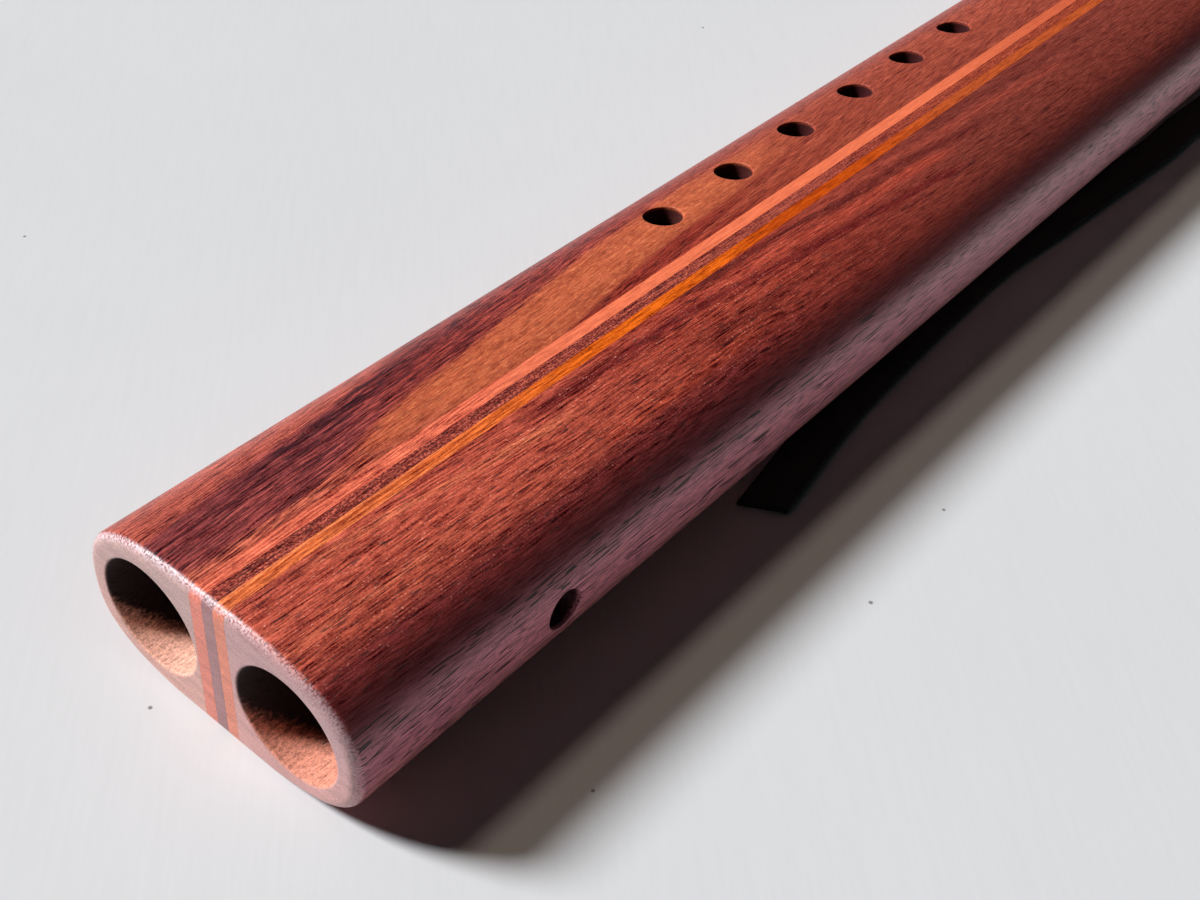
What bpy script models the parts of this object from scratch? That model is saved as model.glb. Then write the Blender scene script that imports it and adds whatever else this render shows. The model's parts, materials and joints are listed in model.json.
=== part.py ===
"""Double flute: a melody pipe and a drone pipe routed side by side in one laminated wooden body.

Units are metres, +Z is up. The body's axis runs along Y, with the foot (open bores) at -Y and the
mouthpiece at +Y. The melody pipe is at -X and the drone pipe at +X. The origin is under the middle
of the body, on the surface that the flute lies on.
"""

import math

import bmesh
import bpy

for old in list(bpy.data.objects):
    bpy.data.objects.remove(old, do_unlink=True)

MM = 0.001
GAP = 0.3 * MM  # glue line, or the clearance between two pieces that touch

# ---------------------------------------------------------------- body, outside
LENGTH = 600.0 * MM
HALF_WIDTH = 31.5 * MM
TOP = 16.1 * MM  # height of the arched top above the bores' axes
BELLY = 15.9 * MM  # depth of the flat belly under the bores' axes
NX, NZ = 3.15, 2.63  # exponents of the rounded section
LAND = 1.019  # the section's lower half is this much deeper, and is planed flat at BELLY
FOOT_RIM = 2.0 * MM
MOUTH_RIM = 4.0 * MM
BELLY_RISE = 2.0 * MM  # the belly lifts here, so the strap passes under a flute that lies flat
RISE_FROM, RISE_TO = 335.0 * MM, 405.0 * MM
TAPER_FROM = 470.0 * MM
MOUTH_NARROWS, MOUTH_TOP_DROPS, MOUTH_BELLY_RISES = 9.5 * MM, 6.0 * MM, 3.6 * MM

# ---------------------------------------------------------------- laminations, across X
CORAL = (-4.20 * MM, -1.38 * MM)
DARK = (-1.38 * MM, 1.22 * MM)
ORANGE = (1.22 * MM, 3.77 * MM)

# ---------------------------------------------------------------- bores and chambers
HOLE_R = 3.97 * MM  # every round hole through a wall is drilled 5/16 inch
PIPE_X = 16.05 * MM
BORE_R = 11.0 * MM
BORE_END = 413.0 * MM
AIR_R = 10.0 * MM
AIR_FROM, AIR_TO = 430.0 * MM, 545.0 * MM
BREATH_X = 11.5 * MM

# ---------------------------------------------------------------- holes
FINGER_X = [-16.3 * MM, -16.3 * MM, -17.0 * MM, -17.1 * MM, -17.4 * MM, -17.4 * MM]
FINGER_Y = [132.8 * MM, 157.8 * MM, 183.2 * MM, 208.6 * MM, 232.9 * MM, 256.4 * MM]
TUNE_Y = 47.3 * MM
SOUND_W = 9.0 * MM
SOUND_Y = (405.0 * MM, 411.3 * MM)
EXIT_Y = (431.0 * MM, 437.0 * MM)

# ---------------------------------------------------------------- nest, plates, blocks
NEST_Z = 13.5 * MM
NEST_Y = (394.0 * MM, 474.0 * MM)
PLATE_T = 0.9 * MM
PLATE_W = 16.0 * MM
PLATE_Y = (400.5 * MM, 456.0 * MM)
PLATE_SLOT_END = 439.5 * MM
BLOCK_W = 16.0 * MM
BLOCK_Y = (401.5 * MM, 466.0 * MM)
BLOCK_ROOF_Y = 411.5 * MM
SADDLE_Y = (421.2 * MM, 446.8 * MM)
SADDLE_H = 8.0 * MM
FRONT_H, REAR_H = 15.0 * MM, 13.0 * MM

# ---------------------------------------------------------------- strap
STRAP_W, STRAP_T = 9.5 * MM, 1.4 * MM
TURN_PITCH = 9.8 * MM
TIE_Y = 429.1 * MM  # middle of the first turn
KNOT_Z = 12.5 * MM

MID_Y = LENGTH / 2


# ---------------------------------------------------------------- materials
def material(name, colour, roughness, metallic=0.0):
    made = bpy.data.materials.new(name)
    made.use_nodes = True
    shader = made.node_tree.nodes["Principled BSDF"]
    shader.inputs["Base Color"].default_value = (*colour, 1.0)
    shader.inputs["Roughness"].default_value = roughness
    shader.inputs["Metallic"].default_value = metallic
    return made


WOODS = {
    "melody": material("melody_walnut", (0.22, 0.07, 0.045), 0.35),
    "drone": material("drone_walnut", (0.24, 0.075, 0.045), 0.35),
    "coral": material("coral_wood", (0.80, 0.22, 0.12), 0.35),
    "dark": material("dark_wood", (0.11, 0.04, 0.028), 0.38),
    "orange": material("orange_wood", (0.75, 0.24, 0.05), 0.35),
    "plate": material("plate_wood", (0.09, 0.035, 0.025), 0.4),
    "block": material("block_wood", (0.30, 0.10, 0.055), 0.35),
}
LEATHER = material("black_leather", (0.012, 0.012, 0.013), 0.55)


# ---------------------------------------------------------------- mesh helpers
def new_object(name, mesh, mat, origin=(0.0, 0.0, 0.0)):
    """An object whose mesh is given in the body's own coordinates (foot at Y 0, bores' axes at Z 0)."""
    shift = (-origin[0], -origin[1], -origin[2])
    for vertex in mesh.vertices:
        vertex.co.x += shift[0]
        vertex.co.y += shift[1]
        vertex.co.z += shift[2]
    made = bpy.data.objects.new(name, mesh)
    made.location = (origin[0], origin[1] - MID_Y, origin[2] + BELLY)
    bpy.context.scene.collection.objects.link(made)
    if mat:
        mesh.materials.append(mat)
    mesh.shade_smooth()
    mesh.set_sharp_from_angle(angle=math.radians(32))
    return made


def loft(name, rings):
    """A closed mesh through rings of equal point count, capped at both ends."""
    bm = bmesh.new()
    rows = [[bm.verts.new(p) for p in ring] for ring in rings]
    count = len(rows[0])
    for a, b in zip(rows, rows[1:]):
        for i in range(count):
            j = (i + 1) % count
            bm.faces.new((a[i], a[j], b[j], b[i]))
    bm.faces.new(rows[0])
    bm.faces.new(rows[-1])
    bmesh.ops.recalc_face_normals(bm, faces=bm.faces)
    mesh = bpy.data.meshes.new(name)
    bm.to_mesh(mesh)
    bm.free()
    return mesh


def prism(name, outline, low, high, axis):
    """An outline of (u, v) pairs extruded along an axis: X takes (y, z), Y takes (x, z), Z takes (x, y)."""
    place = {
        "X": lambda u, v, w: (w, u, v),
        "Y": lambda u, v, w: (u, w, v),
        "Z": lambda u, v, w: (u, v, w),
    }[axis]
    return loft(name, [[place(u, v, w) for u, v in outline] for w in (low, high)])


def turned(name, profile, x, z, sides):
    """A solid of revolution about a line along Y through (x, z), from a profile of (y, radius)."""
    bm = bmesh.new()
    rows = []
    for y, r in profile:
        if r <= 1e-7:
            rows.append([bm.verts.new((x, y, z))])
        else:
            turn = [2 * math.pi * (k + 0.5) / sides for k in range(sides)]
            rows.append([bm.verts.new((x + r * math.cos(a), y, z + r * math.sin(a))) for a in turn])
    for a, b in zip(rows, rows[1:]):
        for k in range(sides):
            m = (k + 1) % sides
            if len(a) == 1:
                bm.faces.new((a[0], b[m], b[k]))
            elif len(b) == 1:
                bm.faces.new((a[k], a[m], b[0]))
            else:
                bm.faces.new((a[k], a[m], b[m], b[k]))
    if len(rows[0]) > 1:
        bm.faces.new(rows[0])
    if len(rows[-1]) > 1:
        bm.faces.new(rows[-1])
    bmesh.ops.recalc_face_normals(bm, faces=bm.faces)
    mesh = bpy.data.meshes.new(name)
    bm.to_mesh(mesh)
    bm.free()
    return mesh


def circle(cx, cy, r, sides):
    return [
        (cx + r * math.cos(2 * math.pi * (k + 0.5) / sides), cy + r * math.sin(2 * math.pi * (k + 0.5) / sides))
        for k in range(sides)
    ]


def rectangle(u0, v0, u1, v1):
    return [(u0, v0), (u1, v0), (u1, v1), (u0, v1)]


def cutter(name, mesh, group):
    made = new_object(name, mesh, None)
    made.hide_render = True
    made.display_type = "WIRE"
    bpy.context.scene.collection.objects.unlink(made)
    group.objects.link(made)
    return made


def cutter_group(name):
    made = bpy.data.collections.new(name)
    bpy.context.scene.collection.children.link(made)
    return made


def boolean(target, operation, operand):
    modifier = target.modifiers.new(operation.title(), "BOOLEAN")
    modifier.operation = operation
    modifier.solver = "EXACT"
    if isinstance(operand, bpy.types.Collection):
        modifier.operand_type = "COLLECTION"
        modifier.collection = operand
    else:
        modifier.object = operand


# ---------------------------------------------------------------- the body's outside
def eased(t):
    t = min(1.0, max(0.0, t))
    return t * t * (3 - 2 * t)


def half_sizes(y):
    """Half width, height of the top and depth of the belly at a distance from the foot."""
    t = max(0.0, (y - TAPER_FROM) / (LENGTH - TAPER_FROM)) ** 2
    belly = BELLY - BELLY_RISE * eased((y - RISE_FROM) / (RISE_TO - RISE_FROM))
    return HALF_WIDTH - MOUTH_NARROWS * t, TOP - MOUTH_TOP_DROPS * t, belly - MOUTH_BELLY_RISES * t


def section(y, inset=0.0, count=48):
    width, top, belly = (size - inset for size in half_sizes(y))
    points = []
    for k in range(count):
        a = 2 * math.pi * k / count
        c, s = math.cos(a), math.sin(a)
        x = math.copysign(abs(c) ** (2 / NX), c) * width
        if s >= 0:
            z = abs(s) ** (2 / NZ) * top
        else:
            z = max(-(abs(s) ** (2 / NZ)) * belly * LAND, -belly)
        points.append((0.0 if abs(c) < 1e-9 else x, 0.0 if abs(s) < 1e-9 else z))
    return points


def body_shell():
    rings = []
    for a in (90, 58, 28):
        inset = FOOT_RIM * (1 - math.cos(math.radians(a)))
        rings.append((FOOT_RIM * (1 - math.sin(math.radians(a))), inset))
    rings += [(y * MM, 0.0) for y in (2, 70, 140, 210, 275, 335, 350, 362, 374, 386, 405, 470)]
    rings += [(y * MM, 0.0) for y in (492, 512, 530, 546, 560, 573, 585)]
    for a in (0, 28, 58, 90):
        inset = MOUTH_RIM * (1 - math.cos(math.radians(a)))
        rings.append((LENGTH - MOUTH_RIM * (1 - math.sin(math.radians(a))), inset))
    return loft("body_shell", [[(x, y, z) for x, z in section(y, inset)] for y, inset in rings])


# ---------------------------------------------------------------- what is cut out of the body
def ball_end(y_end, r, steps, direction):
    """Profile of a round router-bit end: (y, radius) pairs from the full radius to the tip."""
    made = []
    for k in range(steps + 1):
        a = math.pi / 2 * k / steps
        made.append((y_end - direction * r * (1 - math.sin(a)), r * math.cos(a) if k < steps else 0.0))
    return made


def round_hole(name, u, v, r, sides, axis, low, high):
    return prism(name, circle(u, v, r, sides), low, high, axis)


pipes_cut = cutter_group("pipe_cutters")
nest_cut = cutter_group("nest_cutters")

for side, x in (("melody", -PIPE_X), ("drone", PIPE_X)):
    bore = [(-5 * MM, BORE_R)] + ball_end(BORE_END, BORE_R, 5, 1)
    cutter(side + "_bore_cut", turned(side + "_bore_cut", bore, x, 0.0, 32), pipes_cut)
    chamber = list(reversed(ball_end(AIR_FROM, AIR_R, 4, -1))) + ball_end(AIR_TO, AIR_R, 4, 1)
    cutter(side + "_air_chamber_cut", turned(side + "_air_chamber_cut", chamber, x, 0.0, 28), pipes_cut)
    breath_x = math.copysign(BREATH_X, x)
    breath = [(AIR_TO - 8 * MM, HOLE_R), (LENGTH + 3 * MM, HOLE_R)]
    cutter(side + "_breath_cut", turned(side + "_breath_cut", breath, breath_x, 0.0, 20), pipes_cut)
    # The sound hole's foot side is undercut to a splitting edge. Its other side is square.
    edge = [
        (SOUND_Y[0], 20 * MM),
        (SOUND_Y[0], NEST_Z - 0.6 * MM),
        (SOUND_Y[0] - 6.0 * MM, 6.5 * MM),
        (SOUND_Y[1], 6.5 * MM),
        (SOUND_Y[1], 20 * MM),
    ]
    sound = prism(side + "_sound_hole_cut", edge, x - SOUND_W / 2, x + SOUND_W / 2, "X")
    cutter(side + "_sound_hole_cut", sound, pipes_cut)
    slot = rectangle(x - SOUND_W / 2, EXIT_Y[0], x + SOUND_W / 2, EXIT_Y[1])
    cutter(side + "_air_exit_cut", prism(side + "_air_exit_cut", slot, 4.0 * MM, 20 * MM, "Z"), pipes_cut)
    outward = sorted((math.copysign(24 * MM, x), math.copysign(40 * MM, x)))
    tune = round_hole(side + "_tuning_hole_cut", TUNE_Y, 0.0, HOLE_R, 20, "X", *outward)
    cutter(side + "_tuning_hole_cut", tune, pipes_cut)

for number, (x, y) in enumerate(zip(FINGER_X, FINGER_Y), 1):
    hole = round_hole(f"finger_hole_{number}_cut", x, y, HOLE_R, 20, "Z", 6.0 * MM, 24 * MM)
    cutter(f"finger_hole_{number}_cut", hole, pipes_cut)

nest = [
    (NEST_Y[0] - 10 * MM, TOP + 1.0 * MM),
    (NEST_Y[0] - 4 * MM, NEST_Z + 0.7 * MM),
    (NEST_Y[0], NEST_Z),
    (NEST_Y[1], NEST_Z),
    (NEST_Y[1] + 4 * MM, NEST_Z + 0.7 * MM),
    (NEST_Y[1] + 10 * MM, TOP + 1.0 * MM),
    (NEST_Y[1] + 10 * MM, 24 * MM),
    (NEST_Y[0] - 10 * MM, 24 * MM),
]
cutter("nest_cut", prism("nest_cut", nest, -40 * MM, 40 * MM, "X"), nest_cut)


# ---------------------------------------------------------------- the ten boards
FAR = 60 * MM
BOARDS = {
    "melody_board": (-FAR, CORAL[0] - GAP / 2, "melody", True),
    "coral_strip": (CORAL[0] + GAP / 2, CORAL[1] - GAP / 2, "coral", False),
    "dark_strip": (DARK[0] + GAP / 2, DARK[1] - GAP / 2, "dark", False),
    "orange_strip": (ORANGE[0] + GAP / 2, ORANGE[1] - GAP / 2, "orange", False),
    "drone_board": (ORANGE[1] + GAP / 2, FAR, "drone", True),
}
board_boxes = cutter_group("board_boxes")
for board, (x0, x1, wood, holds_pipe) in BOARDS.items():
    for half, (z0, z1) in (("upper", (GAP / 2, FAR)), ("lower", (-FAR, -GAP / 2))):
        name = f"{board}_{half}"
        piece = new_object(name, body_shell(), WOODS[wood])
        outline = rectangle(x0, z0, x1, z1)
        box = cutter(name + "_box", prism(name + "_box", outline, -20 * MM, LENGTH + 20 * MM, "Y"), board_boxes)
        boolean(piece, "INTERSECT", box)
        if holds_pipe:
            boolean(piece, "DIFFERENCE", pipes_cut)
        if half == "upper":
            boolean(piece, "DIFFERENCE", nest_cut)


# ---------------------------------------------------------------- flue plates
def flue_plate(name, x):
    """A thin plate with a slot that is open towards the foot: the slot is the windway."""
    half, slot = PLATE_W / 2, SOUND_W / 2
    low = NEST_Z + GAP
    outline = [
        (x - half, PLATE_Y[0]),
        (x - slot, PLATE_Y[0]),
        (x - slot, PLATE_SLOT_END),
        (x + slot, PLATE_SLOT_END),
        (x + slot, PLATE_Y[0]),
        (x + half, PLATE_Y[0]),
        (x + half, PLATE_Y[1]),
        (x - half, PLATE_Y[1]),
    ]
    return new_object(name, prism(name, outline, low, low + PLATE_T, "Z"), WOODS["plate"])


flue_plate("melody_flue_plate", -PIPE_X)
flue_plate("drone_flue_plate", PIPE_X)

# ---------------------------------------------------------------- blocks
BLOCK_Z = NEST_Z + GAP + PLATE_T + GAP


def block_heights():
    """(y, height) along a block: two chimney wings, a front crest, the saddle and a rear crest."""
    s0, s1 = SADDLE_Y
    return [
        (BLOCK_Y[0], 5.5 * MM),
        (BLOCK_Y[0] + 3.0 * MM, 8.2 * MM),
        (BLOCK_ROOF_Y - 1.5 * MM, 12.6 * MM),
        (BLOCK_ROOF_Y + 3.0 * MM, FRONT_H),
        (s0 - 2.6 * MM, FRONT_H - 1.3 * MM),
        (s0 - 0.5 * MM, SADDLE_H + 3.0 * MM),
        (s0, SADDLE_H),
        (s1, SADDLE_H),
        (s1 + 0.5 * MM, SADDLE_H + 2.6 * MM),
        (s1 + 3.0 * MM, REAR_H - 0.6 * MM),
        (s1 + 8.0 * MM, REAR_H),
        (BLOCK_Y[1] - 4.0 * MM, 9.6 * MM),
        (BLOCK_Y[1], 4.4 * MM),
    ]


def block_section(height):
    """Half of a rounded section, (x, z) from the lower outside edge over the top to the middle."""
    half, bevel = BLOCK_W / 2, 0.6 * MM
    r = min(4.0 * MM, height * 0.45)
    points = [(half - bevel, 0.0), (half, bevel)]
    for k in range(5):
        a = math.pi / 2 * k / 4
        points.append((half - r + r * math.cos(a), height - r + r * math.sin(a)))
    right = points
    return right + [(-px, pz) for px, pz in reversed(right)]


def block_object(name, x):
    rings = [[(x + px, y, BLOCK_Z + pz) for px, pz in block_section(h)] for y, h in block_heights()]
    made = new_object(name, loft(name, rings), WOODS["block"], origin=(x, sum(BLOCK_Y) / 2, BLOCK_Z))
    chimney = rectangle(x - SOUND_W / 2, BLOCK_Y[0] - 5 * MM, x + SOUND_W / 2, BLOCK_ROOF_Y)
    group = cutter_group(name + "_cutters")
    cutter(name + "_chimney_cut", prism(name + "_chimney_cut", chimney, BLOCK_Z - 5 * MM, BLOCK_Z + 30 * MM, "Z"), group)
    boolean(made, "DIFFERENCE", group)
    return made


block_object("melody_block", -PIPE_X)
block_object("drone_block", PIPE_X)


# ---------------------------------------------------------------- strap round the body and blocks
def hull(points):
    """Convex hull of (x, z) pairs, anticlockwise."""
    points = sorted(set(points))

    def half(ordered):
        kept = []
        for p in ordered:
            while len(kept) > 1:
                (ax, ay), (bx, by) = kept[-2], kept[-1]
                if (bx - ax) * (p[1] - ay) - (by - ay) * (p[0] - ax) <= 0:
                    kept.pop()
                else:
                    break
            kept.append(p)
        return kept[:-1]

    return half(points) + half(list(reversed(points)))


def tie_loop():
    """The strap's middle line round body and blocks, (x, z) pairs, anticlockwise."""
    around = [(x, z) for x, z in section(430 * MM, 0.0, 96)]
    for px in (-PIPE_X, PIPE_X):
        around += [(px + x, BLOCK_Z + z) for x, z in block_section(SADDLE_H)]
    off = GAP + STRAP_T / 2
    grown = [(x + off * math.cos(a), z + off * math.sin(a)) for x, z in around for a in [math.pi * k / 12 for k in range(24)]]
    return hull(grown)


def resampled(points, count, closed=False):
    """Points at equal steps along a polyline."""
    line = points + points[:1] if closed else points
    lengths = [math.dist(a, b) for a, b in zip(line, line[1:])]
    total = sum(lengths)
    steps = count if closed else count - 1
    made, at, k = [], 0.0, 0
    for n in range(count):
        want = total * n / steps
        while k < len(lengths) - 1 and at + lengths[k] < want:
            at += lengths[k]
            k += 1
        t = (want - at) / lengths[k]
        made.append(tuple(a + (b - a) * t for a, b in zip(line[k], line[k + 1])))
    return made


def ribbon(name, path, sides_out, width, thickness):
    """A flat strap along a path. sides_out gives the direction of its flat face's normal at each point."""
    rings = []
    for k, p in enumerate(path):
        a, b = path[max(0, k - 1)], path[min(len(path) - 1, k + 1)]
        along = [b[i] - a[i] for i in range(3)]
        size = math.hypot(*along)
        along = [v / size for v in along]
        n = sides_out[k]
        dot = sum(n[i] * along[i] for i in range(3))
        n = [n[i] - dot * along[i] for i in range(3)]
        size = math.hypot(*n)
        n = [v / size for v in n]
        across = (
            along[1] * n[2] - along[2] * n[1],
            along[2] * n[0] - along[0] * n[2],
            along[0] * n[1] - along[1] * n[0],
        )
        ring = []
        for u, v in ((-1, -1), (1, -1), (1, 1), (-1, 1)):
            ring.append(tuple(p[i] + across[i] * u * width / 2 + n[i] * v * thickness / 2 for i in range(3)))
        rings.append(ring)
    return loft(name, rings)


def smooth_path(points, count, closed=False):
    """A centripetal-like Catmull-Rom curve through the points, resampled evenly."""
    dense = []
    for k in range(len(points) - 1):
        p0 = points[max(0, k - 1)]
        p1, p2 = points[k], points[k + 1]
        p3 = points[min(len(points) - 1, k + 2)]
        for n in range(16):
            t = n / 16
            dense.append(
                tuple(
                    0.5
                    * (
                        2 * p1[i]
                        + (p2[i] - p0[i]) * t
                        + (2 * p0[i] - 5 * p1[i] + 4 * p2[i] - p3[i]) * t * t
                        + (3 * p1[i] - p0[i] - 3 * p2[i] + p3[i]) * t**3
                    )
                    for i in range(len(p1))
                )
            )
    dense.append(points[-1])
    return resampled(dense, count)


loop = resampled(tie_loop(), 76, closed=True)
# The turns start at the knot, on the right between belly and block, and go up over the blocks first.
start = min(range(len(loop)), key=lambda k: abs(loop[k][1] - KNOT_Z) if loop[k][0] > 0 else 1.0)
loop = loop[start:] + loop[:start]
path, outs = [], []
for k in range(2 * len(loop) + 1):
    x, z = loop[k % len(loop)]
    before, after = loop[(k - 1) % len(loop)], loop[(k + 1) % len(loop)]
    tx, tz = after[0] - before[0], after[1] - before[1]
    size = math.hypot(tx, tz)
    turn, part = divmod(k / len(loop), 1.0)
    # The strap moves over by one width while it crosses the belly.
    move = eased((part - 0.52) / 0.30)
    path.append((x, TIE_Y + TURN_PITCH * (turn + move), z))
    outs.append((tz / size, 0.0, -tx / size))
new_object("tie_wraps", ribbon("tie_wraps", path, outs, STRAP_W, STRAP_T), LEATHER)

# ---------------------------------------------------------------- knot
knot_at = loop[0]
knot_out = (outs[0][0], outs[0][2])
KNOT_HALF = (3.1 * MM, 12.5 * MM, 5.6 * MM)  # out, along the body, up


def knot_mesh(name):
    """A cushion-shaped knot that lies flat against the turns."""
    up = (-knot_out[1], knot_out[0])
    middle = GAP + STRAP_T / 2 + KNOT_HALF[0]
    cx, cz = knot_at[0] + knot_out[0] * middle, knot_at[1] + knot_out[1] * middle
    cy = TIE_Y + TURN_PITCH
    rings = []
    for a in (-90, -64, -38, -13, 13, 38, 64, 90):
        s, c = math.sin(math.radians(a)), math.cos(math.radians(a))
        y = cy + KNOT_HALF[1] * math.copysign(abs(s) ** 0.8, s)
        scale = 0.42 if abs(a) == 90 else abs(c) ** 0.45
        ring = []
        for k in range(12):
            b = 2 * math.pi * (k + 0.5) / 12
            u = KNOT_HALF[0] * scale * math.copysign(abs(math.cos(b)) ** 0.7, math.cos(b))
            v = KNOT_HALF[2] * scale * math.copysign(abs(math.sin(b)) ** 0.7, math.sin(b))
            ring.append((cx + knot_out[0] * u + up[0] * v, y, cz + knot_out[1] * u + up[1] * v))
        rings.append(ring)
    return loft(name, rings)


new_object("tie_knot", knot_mesh("tie_knot"), LEATHER)

# ---------------------------------------------------------------- tails
# Each point is (x, y, z of the strap's middle, lean of the strap's face from level in degrees).
LIE_Z = -BELLY + 0.1 * MM + STRAP_T / 2
LONG_TAIL = [
    (37.3, 425.2, 9.5, 82),
    (37.9, 413, 6.6, 80),
    (38.2, 399, 1.0, 72),
    (37.6, 384, -5.6, 58),
    (36.2, 368, -10.6, 38),
    (34.6, 350, -13.6, 17),
    (33.2, 332, -14.95, 3),
    (32.0, 313, None, 0),
    (32.1, 298, None, 0),
    (31.4, 284, None, 0),
    (30.3, 268, None, 0),
    (29.2, 250, None, 0),
    (27.9, 232, None, 0),
    (26.6, 217, None, 0),
    (26.3, 204, None, 0),
    (26.6, 188, None, 0),
    (27.1, 172, None, 0),
    (27.9, 155, None, 0),
    (29.0, 140, None, 0),
    (30.6, 127, None, 0),
    (32.3, 116, None, 0),
    (33.9, 105, None, 0),
]
SHORT_TAIL = [
    (37.3, 452.6, 9.5, 82),
    (38.2, 464, 6.0, 78),
    (39.4, 477, 0.0, 66),
    (41.2, 490, -6.8, 46),
    (43.4, 505, -12.0, 22),
    (45.4, 520, -14.6, 5),
    (46.6, 536, None, 0),
    (46.4, 552, None, 0),
    (45.0, 566, None, 0),
]


def tail(name, points, count):
    given = [(x * MM, y * MM, LIE_Z if z is None else z * MM, math.radians(lean)) for x, y, z, lean in points]
    line = smooth_path([(x, y, z, lean * 0.01) for x, y, z, lean in given], count)
    path = [(x, y, max(z, LIE_Z)) for x, y, z, _ in line]
    outs = [(math.sin(lean * 100), 0.0, math.cos(lean * 100)) for _, _, _, lean in line]
    return new_object(name, ribbon(name, path, outs, STRAP_W, STRAP_T), LEATHER)


tail("strap_tail_long", LONG_TAIL, 64)
tail("strap_tail_short", SHORT_TAIL, 26)
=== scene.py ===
"""Looks of a wooden double flute: laminated body, two blocks on flue plates, and a flat leather strap."""

import json
import math

import bmesh
import bpy
import numpy as np
from mathutils import Matrix, Vector


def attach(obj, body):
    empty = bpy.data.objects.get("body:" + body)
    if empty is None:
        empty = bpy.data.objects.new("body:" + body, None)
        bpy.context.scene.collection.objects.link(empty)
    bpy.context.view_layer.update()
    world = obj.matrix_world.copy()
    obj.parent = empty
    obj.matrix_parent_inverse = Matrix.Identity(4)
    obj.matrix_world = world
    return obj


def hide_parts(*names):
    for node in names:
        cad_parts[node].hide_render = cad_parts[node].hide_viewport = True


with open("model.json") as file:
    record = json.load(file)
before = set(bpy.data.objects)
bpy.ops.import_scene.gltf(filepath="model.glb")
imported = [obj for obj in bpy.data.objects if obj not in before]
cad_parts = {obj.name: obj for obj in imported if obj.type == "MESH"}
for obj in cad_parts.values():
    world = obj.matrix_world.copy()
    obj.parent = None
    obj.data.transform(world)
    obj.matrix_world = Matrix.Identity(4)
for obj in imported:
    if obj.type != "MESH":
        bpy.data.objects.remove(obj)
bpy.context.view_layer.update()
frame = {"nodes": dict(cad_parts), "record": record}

MM = 0.001
scene = bpy.context.scene

# The body's own coordinates (foot at Y 0, bores' axes at Z 0) sit in the frame at this shift.
SHIFT = Vector((0.0, -0.3, 0.0159))

# ---------------------------------------------------------------- camera
camera_data = bpy.data.cameras.new("photo_camera")
camera = bpy.data.objects.new("photo_camera", camera_data)
scene.collection.objects.link(camera)
right = Vector((0.76850509, 0.63539314, 0.0753358))
up = Vector((-0.47124859, 0.48242787, 0.73836855))
forward = right.cross(up) * -1.0
turn = Matrix((right, up, -forward)).transposed()
camera.matrix_world = Matrix.Translation((0.131975, -0.387614, 0.204149)) @ turn.to_4x4()
camera_data.sensor_width = 36.0
camera_data.lens = 45.41
camera_data.clip_start, camera_data.clip_end = 0.01, 20.0
scene.camera = camera

# ---------------------------------------------------------------- the body's sizes, in millimetres from the foot
LENGTH, WIDE, HIGH, DEEP = 600.0, 31.5, 16.1, 15.9
NX, NZ, LAND = 3.15, 2.63, 1.019
FOOT_RIM, MOUTH_RIM = 2.0, 4.0
STRIPS = (-4.20, -1.38, 1.22, 3.77)
PIPE_X, BORE_R, BORE_END = 16.05, 11.0, 413.0
AIR_R, AIR_FROM, AIR_TO, BREATH_X = 10.0, 430.0, 545.0, 11.5
HOLE_R, TUNE_Y = 3.97, 47.3
FINGERS = list(zip((-16.3, -16.3, -17.0, -17.1, -17.4, -17.4), (132.8, 157.8, 183.2, 208.6, 232.9, 256.4)))
SOUND_W, NEST_Z = 9.0, 13.5
JOINT = 0.012  # half of a glue line
COLS, TUBE_COLS, CELLS = 208, 96, 16


def eased(t):
    t = min(1.0, max(0.0, t))
    return t * t * (3 - 2 * t)


def half_sizes(y):
    """Half width, height of the top and depth of the belly at a distance from the foot."""
    t = max(0.0, (y - 470.0) / (LENGTH - 470.0)) ** 2
    belly = DEEP - 2.0 * eased((y - 335.0) / 70.0)
    return WIDE - 9.5 * t, HIGH - 6.0 * t, belly - 3.6 * t


def outline(y, inset=0.0, columns=COLS):
    """The body's outline at y: (x, z) pairs at even steps, from +X over the top to -X and back under the belly."""
    w, top, belly = (size - inset for size in half_sizes(y))
    a = np.linspace(0, math.pi, 1801)
    across = np.sign(np.cos(a)) * np.abs(np.cos(a)) ** (2 / NX) * w
    rise = np.abs(np.sin(a)) ** (2 / NZ)
    found = []
    for x, z in ((across, rise * top), (-across, np.maximum(-rise * belly * LAND, -belly))):
        at = np.concatenate([[0], np.cumsum(np.hypot(np.diff(x), np.diff(z)))])
        want = np.linspace(0, at[-1], columns // 2 + 1)[:-1]
        found.append(np.stack([np.interp(want, at, x), np.interp(want, at, z)], axis=1))
    return np.vstack(found)


def top_height(x, y):
    """Height of the top where the section doesn't change along the body."""
    return HIGH * np.clip(1 - np.abs(x / WIDE) ** NX, 0, 1) ** (1 / NZ)


def side_reach(z, y):
    """Distance of the side wall from the middle where the section doesn't change along the body."""
    h = np.where(z >= 0, HIGH, DEEP * LAND)
    return WIDE * np.clip(1 - np.abs(z / h) ** NZ, 0, 1) ** (1 / NX)


def bore_height(x, y):
    return np.sqrt(np.clip(BORE_R**2 - (np.abs(x) - PIPE_X) ** 2, 0, None))


def bore_reach(z, y):
    return PIPE_X + np.sqrt(BORE_R**2 - z**2)


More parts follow.
